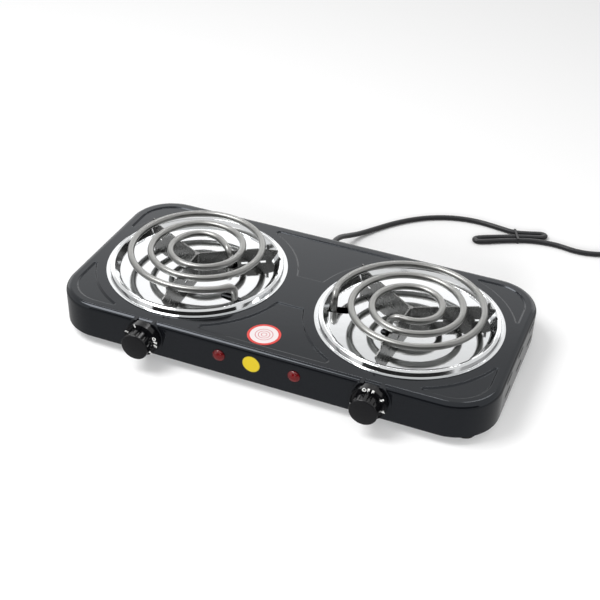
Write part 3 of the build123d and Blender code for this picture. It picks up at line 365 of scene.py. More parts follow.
@dataclass(frozen=True)
class DrawnFinish(Finish):
    """Metal whose grain runs one way, in lines much longer than wide.

    Attributes:
        stretch: The coordinates' scale along each axis; where it is low, the grain is long.
    """

    stretch: tuple[float, float, float] = (1.0, 1.0, 0.08)

    def normal_socket(
        self, tree: bpy.types.NodeTree, place: bpy.types.NodeSocket
    ) -> bpy.types.NodeSocket:
        """Adds drawn lines as relief.

        Args:
            tree: The material's tree.
            place: The coordinates.

        Returns:
            The bumped normal.
        """
        mapped = add_node(tree, "ShaderNodeMapping", {"Vector": place, "Scale": self.stretch})
        return super().normal_socket(tree, mapped.outputs[0])


@dataclass(frozen=True)
class PrintedDisc(Finish):
    """A round label: a plain ground, a coloured border and thin rings inside it.

    Attributes:
        node: The CAD node that it is printed on.
        border: The border's colour, sRGB hex.
        border_share: Where the border starts, as a share of the radius.
        ink: The inner rings' colour, sRGB hex.
        rings: Each inner ring's inner and outer share of the radius.
        flat_axis: The axis the disc faces along, which distance leaves out.
    """

    node: str = ""
    border: str = "c8281e"
    border_share: float = 0.84
    ink: str = "b8505c"
    rings: tuple[tuple[float, float], ...] = ()
    flat_axis: int = 2

    def colour_socket(
        self, tree: bpy.types.NodeTree, place: bpy.types.NodeSocket
    ) -> bpy.types.NodeSocket:
        """Colours the disc by distance from its centre.

        Args:
            tree: The material's tree.
            place: The coordinates.

        Returns:
            The colour.
        """
        low, high = (Vector(corner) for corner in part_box(self.node))
        scale = [2 / (high.x - low.x)] * 3
        scale[self.flat_axis] = 0.0
        shift = [-c * s for c, s in zip((low + high) / 2, scale)]
        mapped = add_node(
            tree, "ShaderNodeMapping", {"Vector": place, "Scale": scale, "Location": shift}
        )
        distance = add_node(
            tree, "ShaderNodeVectorMath", {0: mapped.outputs[0]}, operation="LENGTH"
        ).outputs["Value"]
        ramp = add_node(tree, "ShaderNodeValToRGB", {0: distance})
        ramp.color_ramp.interpolation = "CONSTANT"
        stops = [(0.0, self.colour)]
        for start, end in self.rings:
            stops += [(start, self.ink), (end, self.colour)]
        stops.append((self.border_share, self.border))
        elements = ramp.color_ramp.elements
        elements[0].position, elements[0].color = stops[0][0], linear(stops[0][1])
        elements[1].position, elements[1].color = stops[-1][0], linear(stops[-1][1])
        for position, colour in stops[1:-1]:
            elements.new(position).color = linear(colour)
        return ramp.outputs[0]


class Finishes(Enum):
    """Every finish on the hot plate."""

    # Vitreous enamel on pressed steel: deep black, glassy, with a faint orange-peel ripple. Its
    # reflections carry a faint painted blue tint that stands in for cool light.
    ENAMEL = Finish(
        "black vitreous enamel", "090a0c", "0d0e11", roughness=0.09, roughness_spread=0.02,
        specular=0.44, painted_reflection_tint="eff6ff", grain_mm=5.0, relief_mm=0.02, cloud_mm=60.0,
    )
    # Bright nickel-chrome plate on a pressed dish: a mirror, a little wavy from the press.
    CHROME = Finish(
        "bright chrome plate", "e2e3e4", "d8dadb", metallic=1.0, roughness=0.07,
        roughness_spread=0.02, grain_mm=14.0, relief_mm=0.05, cloud_mm=40.0,
    )
    # Bead-blasted stainless sheath: soft, even grey with a fine peened grain.
    SHEATH = Finish(
        "bead-blasted stainless steel", "969694", "8a8a88", metallic=1.0, roughness=0.3,
        roughness_spread=0.02, grain_mm=0.4, relief_mm=0.001, cloud_mm=40.0,
    )
    # Zinc-plated strip that heat has dulled: mid grey with a drawn grain.
    ZINC = DrawnFinish(
        "zinc-plated steel strip", "868685", "727271", metallic=1.0, roughness=0.26,
        roughness_spread=0.05, grain_mm=0.7, relief_mm=0.006, cloud_mm=30.0,
    )
    # Galvanised sheet: dull grey with clouded spangle.
    GALVANISED = Finish(
        "galvanised steel sheet", "9c9fa2", "7e8286", metallic=1.0, roughness=0.42,
        roughness_spread=0.1, grain_mm=8.0, relief_mm=0.01, cloud_mm=14.0,
    )
    # Nickel-plated screws and pins.
    SCREW = Finish(
        "nickel-plated steel", "b9b7b2", "a5a29c", metallic=1.0, roughness=0.25, grain_mm=0.4,
        relief_mm=0.005, cloud_mm=5.0,
    )
    # Glossy moulded phenolic: near black, sharp highlights.
    KNOB = Finish(
        "moulded phenolic", "08080a", "0e0e10", roughness=0.13, roughness_spread=0.03,
        specular=0.35, grain_mm=1.5, relief_mm=0.004, cloud_mm=20.0,
    )
    # White ink on the faces of the raised letters.
    LEGEND = Finish("white pad-print ink", "f0f0ee", "dcdcda", roughness=0.5, grain_mm=0.3)
    # Natural rubber feet: matte, very dark.
    RUBBER = Finish(
        "moulded rubber", "141414", "1c1c1c", roughness=0.75, grain_mm=0.8, relief_mm=0.03
    )
    # Steatite ceramic: off-white, dry.
    STEATITE = Finish(
        "steatite ceramic", "dcd6c8", "c8c0ae", roughness=0.65, grain_mm=0.5, relief_mm=0.02
    )
    # Brass contacts and pins.
    BRASS = Finish(
        "rolled brass", "d0b268", "b8964c", metallic=1.0, roughness=0.25, grain_mm=0.5,
        relief_mm=0.006, cloud_mm=6.0,
    )
    # Plasticised PVC: satin black, faintly orange-peeled.
    PVC = Finish(
        "moulded PVC", "151517", "1e1e20", roughness=0.38, roughness_spread=0.06, grain_mm=0.9,
        relief_mm=0.012, cloud_mm=25.0,
    )
    # Nylon mouldings inside the body.
    NYLON = Finish("moulded nylon", "26262a", "303034", roughness=0.5, grain_mm=0.5)
    # Insulation of the inner wires.
    INSULATION = Finish("glass-braid insulation", "cfc9b6", "b6ae98", roughness=0.8, grain_mm=0.6)
    # Red polycarbonate lens: a coarse relief stands in for the facets inside it.
    LENS = ClearRed(
        "red polycarbonate", "8c0b12", "5c060a", roughness=0.1, roughness_spread=0.03, ior=1.58,
        grain_mm=2.4, relief_mm=0.25, cloud_mm=4.0,
    )
    # Clear varnished labels, printed in flat inks.
    ROUND_LABEL = PrintedDisc(
        "printed polyester label", "d6cdcd", "d6cdcd", roughness=0.35, grain_mm=2.0,
        relief_mm=0.004, node="round_label",
        rings=((0.14, 0.18), (0.32, 0.36), (0.5, 0.54)),
    )
    FRONT_LABEL = PrintedDisc(
        "yellow polyester label", "b49e0a", "b49e0a", roughness=0.35, grain_mm=2.0,
        relief_mm=0.004, node="front_label", border="8a7c10", border_share=0.93, flat_axis=1,
    )


NODE_FINISHES: dict[Finishes, tuple[str, ...]] = {
    Finishes.ENAMEL: ("top_shell",),
    Finishes.CHROME: ("drip_pan_left", "drip_pan_right"),
    Finishes.SHEATH: ("heating_coil_left", "heating_coil_right"),
    Finishes.ZINC: (
        "coil_bracket_left", "coil_bracket_right", "pan_strap_left", "pan_strap_right",
        "thermostat_frame_left", "thermostat_frame_right",
    ),
    Finishes.GALVANISED: ("base_plate",),
    Finishes.SCREW: (
        "base_screws", "foot_screws", "foot_nuts", "strap_nuts", "thermostat_screws",
        "cord_clamp_screws", "terminal_block_screws", "lamp_clips", "spindle_left",
        "spindle_right", "knob_clip_left", "knob_clip_right", "terminal_pins",
    ),
    Finishes.KNOB: ("knob_left", "knob_right"),
    Finishes.RUBBER: ("foot_front_left", "foot_front_right", "foot_back_left", "foot_back_right"),
    Finishes.STEATITE: (
        "terminal_beads", "thermostat_stack_left", "thermostat_stack_right", "terminal_block",
    ),
    Finishes.BRASS: (
        "thermostat_blades_left", "thermostat_blades_right", "plug_blades", "plug_ground_pin",
    ),
    Finishes.LENS: ("lamp_lens_left", "lamp_lens_right"),
    Finishes.NYLON: ("lamp_body_left", "lamp_body_right", "cord_clamp", "cord_clamp_base"),
    Finishes.ROUND_LABEL: ("round_label",),
    Finishes.FRONT_LABEL: ("front_label",),
    Finishes.PVC: ("cord_sleeve", "cord_inner_end", "cord_tie"),
    Finishes.INSULATION: ("neutral_wires", "live_wires", "switched_wires"),
}


@dataclass
class Wardrobe:
    """Builds each finish once and puts it on pieces.

    Attributes:
        made: The materials built so far.
    """

    made: dict[Finishes, bpy.types.Material] = field(default_factory=dict)

    def get(self, finish: Finishes) -> bpy.types.Material:
        """Gives the finish's material, building it the first time.

        Args:
            finish: The finish.

        Returns:
            Its material.
        """
        if finish not in self.made:
            self.made[finish] = finish.value.build()
        return self.made[finish]

    def dress(self, piece: bpy.types.Object, finish: Finishes) -> None:
        """Gives a whole piece one finish.

        Args:
            piece: The piece.
            finish: The finish.
        """
        piece.data.materials.clear()
        piece.data.materials.append(self.get(finish))

    def dress_nodes(self) -> None:
        """Dresses every carried-over CAD node."""
        for finish, names in NODE_FINISHES.items():
            for name in names:
                self.dress(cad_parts[name], finish)
                log.info("%s: %s", name, finish.value.name)


# ---------------------------------------------------------------- studio
@dataclass(frozen=True)
class SoftBox:
    """One lamp aimed at the object.

    Attributes:
        name: The lamp's name.
        place: Where it hangs, metres.
        size: Width and height of its face, metres.
        power: Watts.
        mirrored: Whether reflections see it.
    """

    name: str
    place: tuple[float, float, float]
    size: tuple[float, float]
    power: float
    mirrored: bool = True


@dataclass(frozen=True)
class Board:
    """One upright board that only reflections see, its brightness set by height.

    Attributes:
        name: The board's name.
        place: Its centre, metres.
        size: Its width and height, metres.
        levels: Height above the floor in metres, and the brightness there.
    """

    name: str
    place: tuple[float, float, float]
    size: tuple[float, float]
    levels: tuple[tuple[float, float], ...]


SOFT_BOXES = (
    SoftBox("key", place=(-0.9, -0.5, 1.7), size=(1.0, 1.0), power=22.0),
    SoftBox(
        "front_fill", place=(0.5, -1.5, 0.55), size=(0.8, 0.5), power=22.0, mirrored=False
    ),
)
BOARDS = (
    Board("strip", place=(-0.41, 1.04, 1.55), size=(1.8, 0.16), levels=((1.3, 9.0), (1.8, 9.0))),
    Board(
        "sweep",
        place=(-0.58, 1.5, 0.8),
        size=(4.0, 1.5),
        levels=((0.9, 1.7), (1.08, 1.42), (1.2, 1.3), (1.36, 0.95)),
    ),
    Board("dark_room", place=(0.7, -1.9, 0.85), size=(5.0, 1.5), levels=((0.1, 0.02), (1.5, 0.02))),
)
SENSOR_MM = 36.0


@dataclass
class Studio:
    """Camera, floor, world, lamps and boards.

    Attributes:
        target: The point the camera circles, metres.
        azimuth: Camera azimuth from the front, degrees.
        elevation: Camera elevation, degrees.
        roll: Camera roll, degrees.
        distance: From the target, metres.
        lens_mm: Focal length on a 36 mm sensor.
        shift: Lens shift across and up, as shares of the frame.
        world_light: Strength of the white surround as a light.
        world_mirrored: Its strength as reflections see it.
        floor_mirrored: The floor's brightness as reflections see it.
        floor_white: The floor's own share of light sent back.
        floor_radius: How far the floor reaches, metres.
    """

    target: tuple[float, float, float] = (0.0, 0.0, 0.010)
    azimuth: float = 21.425
    elevation: float = 36.185
    roll: float = 1.825
    distance: float = 1.17546
    lens_mm: float = 69.13
    shift: tuple[float, float] = (0.00074, 0.03581)
    world_light: float = 0.62
    world_mirrored: float = 0.9
    floor_mirrored: float = 0.42
    floor_white: float = 0.93
    floor_radius: float = 6.0

    def camera(self) -> None:
        """Makes the scene's camera."""
        azimuth, elevation = math.radians(self.azimuth), math.radians(self.elevation)
        back = Vector(
            (
                math.sin(azimuth) * math.cos(elevation),
                -math.cos(azimuth) * math.cos(elevation),
                math.sin(elevation),
            )
        )
        level = Vector((math.cos(azimuth), math.sin(azimuth), 0))
        turn = Matrix((level, back.cross(level), back)).transposed()
        turn = turn @ Matrix.Rotation(math.radians(self.roll), 3, "Z")
        data = bpy.data.cameras.new("camera")
        data.sensor_width = SENSOR_MM
        data.lens = self.lens_mm
        data.shift_x, data.shift_y = self.shift
        camera = bpy.data.objects.new("camera", data)
        camera.matrix_world = (
            Matrix.Translation(Vector(self.target) + back * self.distance) @ turn.to_4x4()
        )
        bpy.context.scene.collection.objects.link(camera)
        bpy.context.scene.camera = camera

    def world(self) -> None:
        """Makes a white world that lights the object gently."""
        world = bpy.data.worlds.new("studio")
        world.use_nodes = True
        tree = world.node_tree
        tree.nodes.clear()
        path = add_node(tree, "ShaderNodeLightPath").outputs
        seen = add_node(
            tree,
            "ShaderNodeMath",
            {0: path["Is Camera Ray"], 1: path["Is Transmission Ray"]},
            operation="MAXIMUM",
        )
        mirrored = add_node(
            tree,
            "ShaderNodeMix",
            {0: path["Is Glossy Ray"], 2: self.world_light, 3: self.world_mirrored},
            data_type="FLOAT",
        )
        strength = add_node(
            tree,
            "ShaderNodeMix",
            {0: seen.outputs[0], 2: mirrored.outputs[0], 3: 1.0},
            data_type="FLOAT",
        )
        background = add_node(
            tree,
            "ShaderNodeBackground",
            {"Color": (1, 1, 1, 1), "Strength": strength.outputs[0]},
        )
        add_node(tree, "ShaderNodeOutputWorld", {"Surface": background.outputs[0]})
        bpy.context.scene.world = world

    def aimed(self, place: tuple[float, float, float], axis: str) -> Matrix:
        """Places something so that one of its own axes points at the object.

        Args:
            place: Where it stands, metres.
            axis: The axis that points at the object.

        Returns:
            Its place and turn.
        """
        aim = (Vector(self.target) - Vector(place)).to_track_quat(axis, "Y")
        return Matrix.Translation(place) @ aim.to_matrix().to_4x4()

    def lamp(self, box: SoftBox) -> None:
        """Hangs one soft box.

        Args:
            box: The soft box.
        """
        data = bpy.data.lights.new(box.name, "AREA")
        data.energy = box.power
        data.shape = "RECTANGLE"
        data.size, data.size_y = box.size
        lamp = bpy.data.objects.new(box.name, data)
        lamp.matrix_world = self.aimed(box.place, "-Z")
        lamp.visible_glossy = box.mirrored
        bpy.context.scene.collection.objects.link(lamp)

    def board(self, board: Board) -> None:
        """Stands up one board.

        Args:
            board: The board.
        """
        bm = bmesh.new()
        bmesh.ops.create_grid(bm, x_segments=1, y_segments=1, size=0.5)
        level_place = (board.place[0], board.place[1], self.target[2])
        aim = (Vector(self.target) - Vector(level_place)).to_track_quat("Z", "Y")
        scale = Matrix.Diagonal((*board.size, 1, 1))
        turn = aim.to_matrix().to_4x4()
        place = Matrix.Translation(board.place) @ turn @ scale
        bmesh.ops.transform(bm, matrix=place, verts=bm.verts)
        panel = mesh_object(board.name, bm)
        panel.data.materials.append(self.board_material(board))
        panel.visible_camera = False
        panel.visible_diffuse = False
        panel.visible_shadow = False
        panel.visible_transmission = False

    def board_material(self, board: Board) -> bpy.types.Material:
        """Makes a board's glow, which changes smoothly with height.

        Args:
            board: The board.

        Returns:
            Its material.
        """
        material = bpy.data.materials.new(board.name)
        material.use_nodes = True
        tree = material.node_tree
        tree.nodes.clear()
        place = add_node(tree, "ShaderNodeTexCoord").outputs["Object"]
        height = add_node(tree, "ShaderNodeSeparateXYZ", {0: place}).outputs["Z"]
        strength = board.levels[0][1]
        for (low, _), (high, next_level) in zip(board.levels, board.levels[1:]):
            step = add_node(
                tree,
                "ShaderNodeMapRange",
                {
                    "Value": height,
                    "From Min": low,
                    "From Max": high,
                    "To Min": strength,
                    "To Max": next_level,
                },
                interpolation_type="SMOOTHSTEP",
            )
            strength = step.outputs[0]
        glow = add_node(tree, "ShaderNodeEmission", {"Strength": strength})
        add_node(tree, "ShaderNodeOutputMaterial", {"Surface": glow.outputs[0]})
        return material

    def floor(self) -> None:
        """Makes the pale floor."""
        bm = bmesh.new()
        bmesh.ops.create_circle(bm, cap_ends=True, segments=96, radius=self.floor_radius)
        floor = mesh_object("studio_floor", bm)
        material = bpy.data.materials.new("pale floor")
        material.use_nodes = True
        tree = material.node_tree
        tree.nodes.clear()
        white = (*[self.floor_white] * 3, 1)
        matte = add_node(tree, "ShaderNodeBsdfDiffuse", {"Color": white})
        dim = add_node(tree, "ShaderNodeEmission", {"Color": (*[self.floor_mirrored] * 3, 1)})
        path = add_node(tree, "ShaderNodeLightPath").outputs
        surface = add_node(
            tree,
            "ShaderNodeMixShader",
            {0: path["Is Glossy Ray"], 1: matte.outputs[0], 2: dim.outputs[0]},
        )
        add_node(tree, "ShaderNodeOutputMaterial", {"Surface": surface.outputs[0]})
        floor.data.materials.append(material)

    def build(self) -> None:
        """Makes the whole studio."""
        self.world()
        self.floor()
        for box in SOFT_BOXES:
            self.lamp(box)
        for board in BOARDS:
            self.board(board)
        bpy.context.scene.view_settings.view_transform = "Standard"


# ---------------------------------------------------------------- cord
@dataclass
class MainsCord:
    """The mains cord: a long curve behind the body, a tied hank, a put-away coil, a plug.

    Attributes:
        diameter: Outer diameter, metres.
        sleeve_end: Where it leaves its sleeve, millimetres.
        coil_centre: Centre of the coil in plan, millimetres.
        coil_radius: Middle radius of the turns, millimetres.
        coil_entry: Bearing at which the cord joins the coil, degrees.
        coil_exit: Bearing at which it leaves, degrees.
        coil_turns: Whole turns in the coil.
        points_per_turn: Control points in each turn.
        turn_rise: How far a turn climbs, in diameters.
        length: Length along the smooth line, metres.
    """

    diameter: float = 0.006
    sleeve_end: tuple[float, float, float] = (-18.0, 130.5, 20.0)
    coil_centre: tuple[float, float] = (315.0, 262.0)
    coil_radius: float = 33.0
    coil_entry: float = 120.0
    coil_exit: float = 60.0
    coil_turns: int = 2
    points_per_turn: int = 24
    turn_rise: float = 1.03
    length: float = 1.108

    def first_stretch(self) -> list[tuple[float, float, float]]:
        """Gives the route from the sleeve to the hank.

        Returns:
            Its control points, millimetres.
        """
        return [
            self.sleeve_end,
            (-18.0, 144.5, 20.0),
            (-16.5, 160.0, 16.5),
            (-12.5, 176.0, 10.0),
            (-5.0, 193.0, 5.0),
            (8.0, 215.0, 3.0),
            (26.0, 239.0, 3.0),
            (50.0, 261.0, 3.0),
            (79.0, 276.0, 3.0),
            (109.0, 281.0, 3.0),
            (138.0, 277.0, 3.0),
        ]

    def hank(self) -> list[tuple[float, float, float]]:
        """Gives the three folded runs.

        Returns:
            Their control points, millimetres.
        """
        return [
            (158.0, 273.6, 3.0),
            (175.0, 279.6, 3.0),
            (187.0, 284.4, 3.0),
            (192.6, 281.8, 3.0),
            (190.0, 276.4, 3.0),
            (179.0, 272.6, 3.0),
            (161.0, 265.6, 3.0),
            (142.0, 256.4, 3.0),
            (124.0, 247.2, 3.0),
            (117.2, 241.4, 3.0),
            (122.0, 236.6, 3.0),
            (132.0, 241.2, 3.0),
            (148.0, 250.6, 3.0),
            (166.0, 259.6, 3.0),
            (184.0, 266.4, 3.0),
        ]

    def second_stretch(self) -> list[tuple[float, float, float]]:
        """Gives the route from the hank to the coil.

        Returns:
            Its control points, millimetres.
        """
        return [
            (209.0, 268.4, 3.0),
            (229.5, 263.6, 3.0),
            (247.0, 265.5, 3.0),
            (264.0, 271.8, 3.0),
            (281.0, 280.2, 3.0),
        ]

    def coil(self) -> list[tuple[float, float, float]]:
        """Gives the coil's turns, each lying on the last.

        Returns:
            Their control points, millimetres.
        """
        turn = 360 * self.coil_turns + self.coil_entry - self.coil_exit
        step = 360 / self.points_per_turn
        floor_height = self.diameter / MM / 2
        rise = self.diameter / MM * self.turn_rise
        points = []
        for index in range(round(turn / step) + 1):
            bearing = math.radians(self.coil_entry - index * step)
            points.append(
                (
                    self.coil_centre[0] + self.coil_radius * math.cos(bearing),
                    self.coil_centre[1] + self.coil_radius * math.sin(bearing),
                    floor_height + rise * index * step / 360,
                )
            )
        return points

    def tail(self) -> list[tuple[float, float, float]]:
        """Gives the route from the coil to the plug.

        Returns:
            Its control points, millimetres.
        """
        return [
            (349.5, 280.6, 14.6),
            (368.0, 272.0, 12.2),
            (387.0, 266.0, 10.5),
            (406.0, 262.0, 10.5),
        ]

    def build(self, wardrobe: Wardrobe, plug: bpy.types.Object) -> bpy.types.Object:
        """Makes the cord as one smooth curve.

        Args:
            wardrobe: Where finishes come from.
            plug: The plug's body; not used.

        Returns:
            The cord.
        """
        route = (
            self.first_stretch() + self.hank() + self.second_stretch() + self.coil() + self.tail()
        )
        curve = bpy.data.curves.new("mains_cord", "CURVE")
        curve.dimensions = "3D"
        curve.bevel_depth = self.diameter / 2
        curve.bevel_resolution = 5
        curve.use_fill_caps = True
        curve.resolution_u = 6
        spline = curve.splines.new("NURBS")
        spline.points.add(len(route) - 1)
        for point, place in zip(spline.points, route):
            point.co = (*(value * MM for value in place), 1.0)
        spline.order_u = 3
        spline.use_endpoint_u = True
        cord = bpy.data.objects.new("mains_cord", curve)
        bpy.context.scene.collection.objects.link(cord)
        curve.materials.append(wardrobe.get(Finishes.PVC))
        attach(cord, "body")
        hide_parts("power_cord", "cord_hank", "cord_run", "cord_coil", "cord_tail")
        tuple(value * MM for value in self.sleeve_end)
        log.info("mains_cord: %d control points", len(route))
        return cord


# ---------------------------------------------------------------- mouldings on the cord
@dataclass
class SleeveRibs:
    """The flexible rings moulded round the strain-relief sleeve.

    Attributes:
        start: The first ring's near edge behind the row's middle, millimetres.
        pitch: From one ring to the next, millimetres.
        count: How many rings.
        width: A ring's width along the cord, millimetres.
        rise: How far a ring stands off the sleeve, millimetres.
        depth: How far it goes into the sleeve, millimetres.
        soft: The rounding of its outer edges, millimetres.
        soft_bend: Where the rounding's middle point lies, as a share of it.
        root: The sleeve's radius at its root and at its tip, millimetres.
        reach: Where the root and the tip are, millimetres.
    """

    start: float = 112.6
    pitch: float = 3.0
    count: int = 6
    width: float = 1.5
    rise: float = 0.7
    depth: float = 0.4
    soft: float = 0.35
    soft_bend: float = 0.3
    root: tuple[float, float] = (6.0, 4.4)
    reach: tuple[float, float] = (111.0, 130.5)

    def build(self, wardrobe: Wardrobe) -> None:
        """Makes the rings.

        Args:
            wardrobe: Where finishes come from.
        """
        origin = Vector((MainsCord.sleeve_end[0] * MM, 0, MainsCord.sleeve_end[2] * MM))
        joined = bmesh.new()
        for index in range(self.count):
            near = self.start + index * self.pitch
            share = (near - self.reach[0]) / (self.reach[1] - self.reach[0])
            radius = self.root[0] + (self.root[1] - self.root[0]) * share
            top, low, far = radius + self.rise, radius - self.depth, near + self.width
            soft, bend = self.soft, self.soft * self.soft_bend
            outline = [
                (low, near), (top - soft, near), (top - bend, near + bend), (top, near + soft),
                (top, far - soft), (top - bend, far - bend), (top - soft, far), (low, far),
            ]
            join(
                joined,
                turned([(r * MM, h * MM) for r, h in outline], origin, Vector((0, 1, 0))),
            )
        ribs = mesh_object("sleeve_ribs", joined)
        wardrobe.dress(ribs, Finishes.PVC)
        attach(ribs, "body")
        log.info("sleeve_ribs: %d rings", self.count)


Section = tuple[float, float, float, float]


@dataclass
class MouldedPlug:
    """The plug's moulded body: a ribbed sleeve that swells into a grip and a square face.

    A section is its distance from the cord's end, half width, half height and corner
    radius, all in millimetres.

    Attributes:
        start: Where the cord enters it, millimetres.
        before: The cord's last point before it, millimetres.
        corner_steps: Points in each rounded corner.
        entry: Sections where the cord goes in.
        sleeve_ribs: How many ribs the sleeve has.
        sleeve_start: Where the first rib starts, millimetres.
        sleeve_pitch: From one rib to the next, millimetres.
        sleeve_radius: The first rib's radius, millimetres.
        sleeve_growth: How much wider each next rib is, millimetres.
        sleeve_groove: How deep the grooves are, millimetres.
        rib_edges: Shares of the pitch where a rib starts and ends and its groove does.
        shoulder: Sections from the sleeve to the grip.
        grip_ribs: How many ribs the grip has.
        grip_start: Where its first rib starts, millimetres.
        grip_pitch: From one rib to the next, millimetres.
        grip_half: Half width and half height of its ribs, millimetres.
        grip_corners: Corner radius of its ribs and of its grooves, millimetres.
        grip_groove: How deep its grooves are, millimetres.
        grip_edges: Where a rib starts and ends and its groove does, millimetres.
        waist: How much its middle draws in, millimetres.
        waist_reach: Where the waist starts, and its length, millimetres.
        head: Sections from the grip to the face.
    """

    start: tuple[float, float, float] = (406.0, 262.0, 10.5)
    before: tuple[float, float, float] = (387.0, 266.0, 10.5)
    corner_steps: int = 7
    entry: tuple[Section, ...] = ((0.0, 3.9, 3.9, 3.9), (0.5, 4.5, 4.5, 4.5))
    sleeve_ribs: int = 6
    sleeve_start: float = 0.9
    sleeve_pitch: float = 2.75
    sleeve_radius: float = 4.9
    sleeve_growth: float = 0.28
    sleeve_groove: float = 0.7
    rib_edges: tuple[float, float, float, float] = (0.0, 0.55, 0.65, 0.95)
    shoulder: tuple[Section, ...] = (
        (17.6, 6.4, 6.4, 6.4), (18.6, 8.0, 7.4, 6.6), (20.0, 9.6, 8.6, 6.2),
        (22.5, 10.9, 9.4, 5.8), (26.0, 11.7, 9.8, 5.6),
    )
    grip_ribs: int = 6
    grip_start: float = 28.0
    grip_pitch: float = 2.3
    grip_half: tuple[float, float] = (11.8, 9.9)
    grip_corners: tuple[float, float] = (5.4, 5.0)
    grip_groove: float = 0.55
    grip_edges: tuple[float, float, float, float] = (0.0, 1.1, 1.4, 2.0)
    waist: float = 0.9
    waist_reach: tuple[float, float] = (26.0, 16.0)
    head: tuple[Section, ...] = (
        (42.6, 11.8, 9.9, 5.4), (44.5, 12.4, 10.3, 5.6), (46.0, 12.5, 10.5, 5.8),
        (50.8, 12.5, 10.5, 5.8), (51.7, 12.2, 10.2, 5.5), (52.0, 11.6, 9.6, 5.0),
    )

    def sections(self) -> list[Section]:
        """Works out every section, from the cord's end to the face.

        Returns:
            The sections.
        """
        found = [*self.entry]
        for index in range(self.sleeve_ribs):
            near = self.sleeve_start + index * self.sleeve_pitch
            radius = self.sleeve_radius + index * self.sleeve_growth
            drops = (0.0, 0.0, self.sleeve_groove, self.sleeve_groove)
            for edge, drop in zip(self.rib_edges, drops):
                half = radius - drop
                found.append((near + self.sleeve_pitch * edge, half, half, half))
        found += self.shoulder
        waist_start, waist_length = self.waist_reach
        for index in range(self.grip_ribs):
            near = self.grip_start + index * self.grip_pitch
            drawn = self.waist * math.sin(math.pi * (near - waist_start) / waist_length)
            wide, high = (half - drawn for half in self.grip_half)
            corner, groove_corner = self.grip_corners
            cuts = ((0.0, corner), (0.0, corner))
            cuts += ((self.grip_groove, groove_corner), (self.grip_groove, groove_corner))
            for edge, (drop, rounding) in zip(self.grip_edges, cuts):
                found.append((near + edge, wide - drop, high - drop, rounding))
        return [*found, *self.head]

    def ring(self, wide: float, high: float, corner: float) -> list[tuple[float, float]]:
        """Works out one rounded rectangle.

        Args:
            wide: Half width, millimetres.
            high: Half height, millimetres.
            corner: Corner radius, millimetres.

        Returns:
            Its points across and up, counter-clockwise, millimetres.
        """
        corners = [
            (wide - corner, high - corner), (corner - wide, high - corner),
            (corner - wide, corner - high), (wide - corner, corner - high),
        ]
        points = []
        for quarter, (across, up) in enumerate(corners):
            for step in range(self.corner_steps):
                bearing = math.radians(90 * (quarter + step / (self.corner_steps - 1)))
                points.append(
                    (across + corner * math.cos(bearing), up + corner * math.sin(bearing))
                )
        return points

    def build(self, wardrobe: Wardrobe) -> bpy.types.Object:
        """Makes the plug's body.

        Args:
            wardrobe: Where finishes come from.

        Returns:
            The plug's body.
        """
        origin = Vector(self.start)
        along = (origin - Vector(self.before)).normalized()
        across = UP.cross(along)
        bm = bmesh.new()
        loops = []
        for distance, wide, high, corner in self.sections():
            middle = origin + along * distance
            loops.append(
                [
                    bm.verts.new((middle + across * a + UP * u) * MM)
                    for a, u in self.ring(wide, high, corner)
                ]
            )
        for first, second in zip(loops, loops[1:]):
            for index in range(len(first)):
                after = (index + 1) % len(first)
                bm.faces.new((first[index], first[after], second[after], second[index]))
        bm.faces.new(reversed(loops[0]))
        bm.faces.new(loops[-1])
        plug = mesh_object("moulded_plug", bm, smooth_angle=30.0)
        wardrobe.dress(plug, Finishes.PVC)
        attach(plug, "body")
        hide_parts("plug_body")
        log.info("moulded_plug: %d sections", len(loops))
        return plug


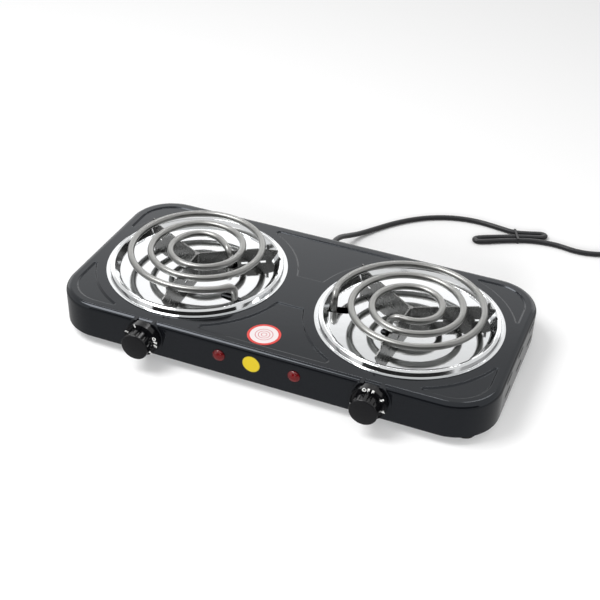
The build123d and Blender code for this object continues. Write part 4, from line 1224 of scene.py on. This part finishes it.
# ---------------------------------------------------------------- knob legends
@dataclass
class KnobLegend:
    """The moulded OFF and numbers round one knob's skirt, just proud of its rim.

    Attributes:
        side: "left" or "right".
        turn: How far the knob stands clockwise from OFF, degrees.
        ring_radius: Radius of the letters' middles, millimetres.
        letter_height: Height of a capital, millimetres.
        type_share: The type's size over the height of its capitals.
        bolder: How far each outline is pushed out, millimetres.
        letter_width: How far letters are widened.
        letter_step: Angle between the letters of a word, degrees.
        skirt_depth: The skirt's face in front of the knob's back, millimetres.
        rise: How far the letters stand off that face, millimetres.
        root: How far they go into it, millimetres.
        marks: Each word, and its bearing clockwise from OFF, degrees.
    """

    side: str
    turn: float
    ring_radius: float = 15.65
    letter_height: float = 3.4
    type_share: float = 1.42
    bolder: float = 0.02
    letter_width: float = 1.15
    letter_step: float = 15.0
    skirt_depth: float = 7.5
    rise: float = 0.75
    root: float = 0.15
    marks: tuple[tuple[str, float], ...] = (
        ("OFF", 0.0), ("5", 56.0), ("4", 105.0), ("3", 155.0), ("2", 205.0), ("1", 255.0),
    )

    def letter(self, text: str, bearing: float, axis: Vector) -> bmesh.types.BMesh:
        """Makes one letter that stands on the skirt's face.

        Args:
            text: The letter.
            bearing: Its place clockwise from the top, degrees.
            axis: The knob's axis at the middle of the letters' depth, metres.

        Returns:
            The letter's mesh, in the row frame.
        """
        curve = bpy.data.curves.new("letter", "FONT")
        curve.body = text
        curve.size = self.letter_height * MM * self.type_share
        curve.offset = self.bolder * MM
        curve.extrude = (self.rise + self.root) * MM / 2
        curve.align_x = "CENTER"
        curve.align_y = "CENTER"
        curve.resolution_u = 3
        holder = bpy.data.objects.new("letter", curve)
        mesh = bpy.data.meshes.new_from_object(holder)
        bpy.data.objects.remove(holder)
        bm = bmesh.new()
        bm.from_mesh(mesh)
        bpy.data.meshes.remove(mesh)
        upright = Matrix.Rotation(math.radians(90), 4, "X")
        outward = Matrix.Translation((0, 0, self.ring_radius * MM))
        clockwise = Matrix.Rotation(math.radians(bearing), 4, "Y")
        widen = Matrix.Diagonal((self.letter_width, 1, 1, 1))
        place = Matrix.Translation(axis) @ clockwise @ outward @ upright @ widen
        bmesh.ops.transform(bm, matrix=place, verts=bm.verts)
        return bm

    def build(self, wardrobe: Wardrobe) -> None:
        """Makes the legend and fixes it to its knob.

        Args:
            wardrobe: Where finishes come from.
        """
        low, high = (Vector(corner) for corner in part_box(f"knob_{self.side}"))
        middle = high.y - (self.skirt_depth + (self.rise - self.root) / 2) * MM
        axis = Vector(((low.x + high.x) / 2, middle, (low.z + high.z) / 2))
        joined = bmesh.new()
        for word, angle in self.marks:
            first = -(len(word) - 1) / 2
            for index, text in enumerate(word):
                bearing = self.turn + angle + (first + index) * self.letter_step
                join(joined, self.letter(text, bearing, axis))
        legend = mesh_object(f"knob_legend_{self.side}", joined)
        wardrobe.dress(legend, Finishes.LEGEND)
        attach(legend, f"knob_{self.side}_assembly")
        log.info("knob_legend_%s: %d marks", self.side, len(self.marks))


# ---------------------------------------------------------------- build
def main() -> None:
    """Builds the studio, the cord and every finish, in order."""
    logging.basicConfig(level=logging.INFO, format="%(message)s")
    wardrobe = Wardrobe()
    studio = Studio()
    studio.camera()
    MainsCord().build(wardrobe, MouldedPlug().build(wardrobe))
    studio.build()
    wardrobe.dress_nodes()
    KnobLegend("left", 85.0).build(wardrobe)
    KnobLegend("right", 0.0).build(wardrobe)
    SleeveRibs().build(wardrobe)


if __name__ == "__main__":
    main()
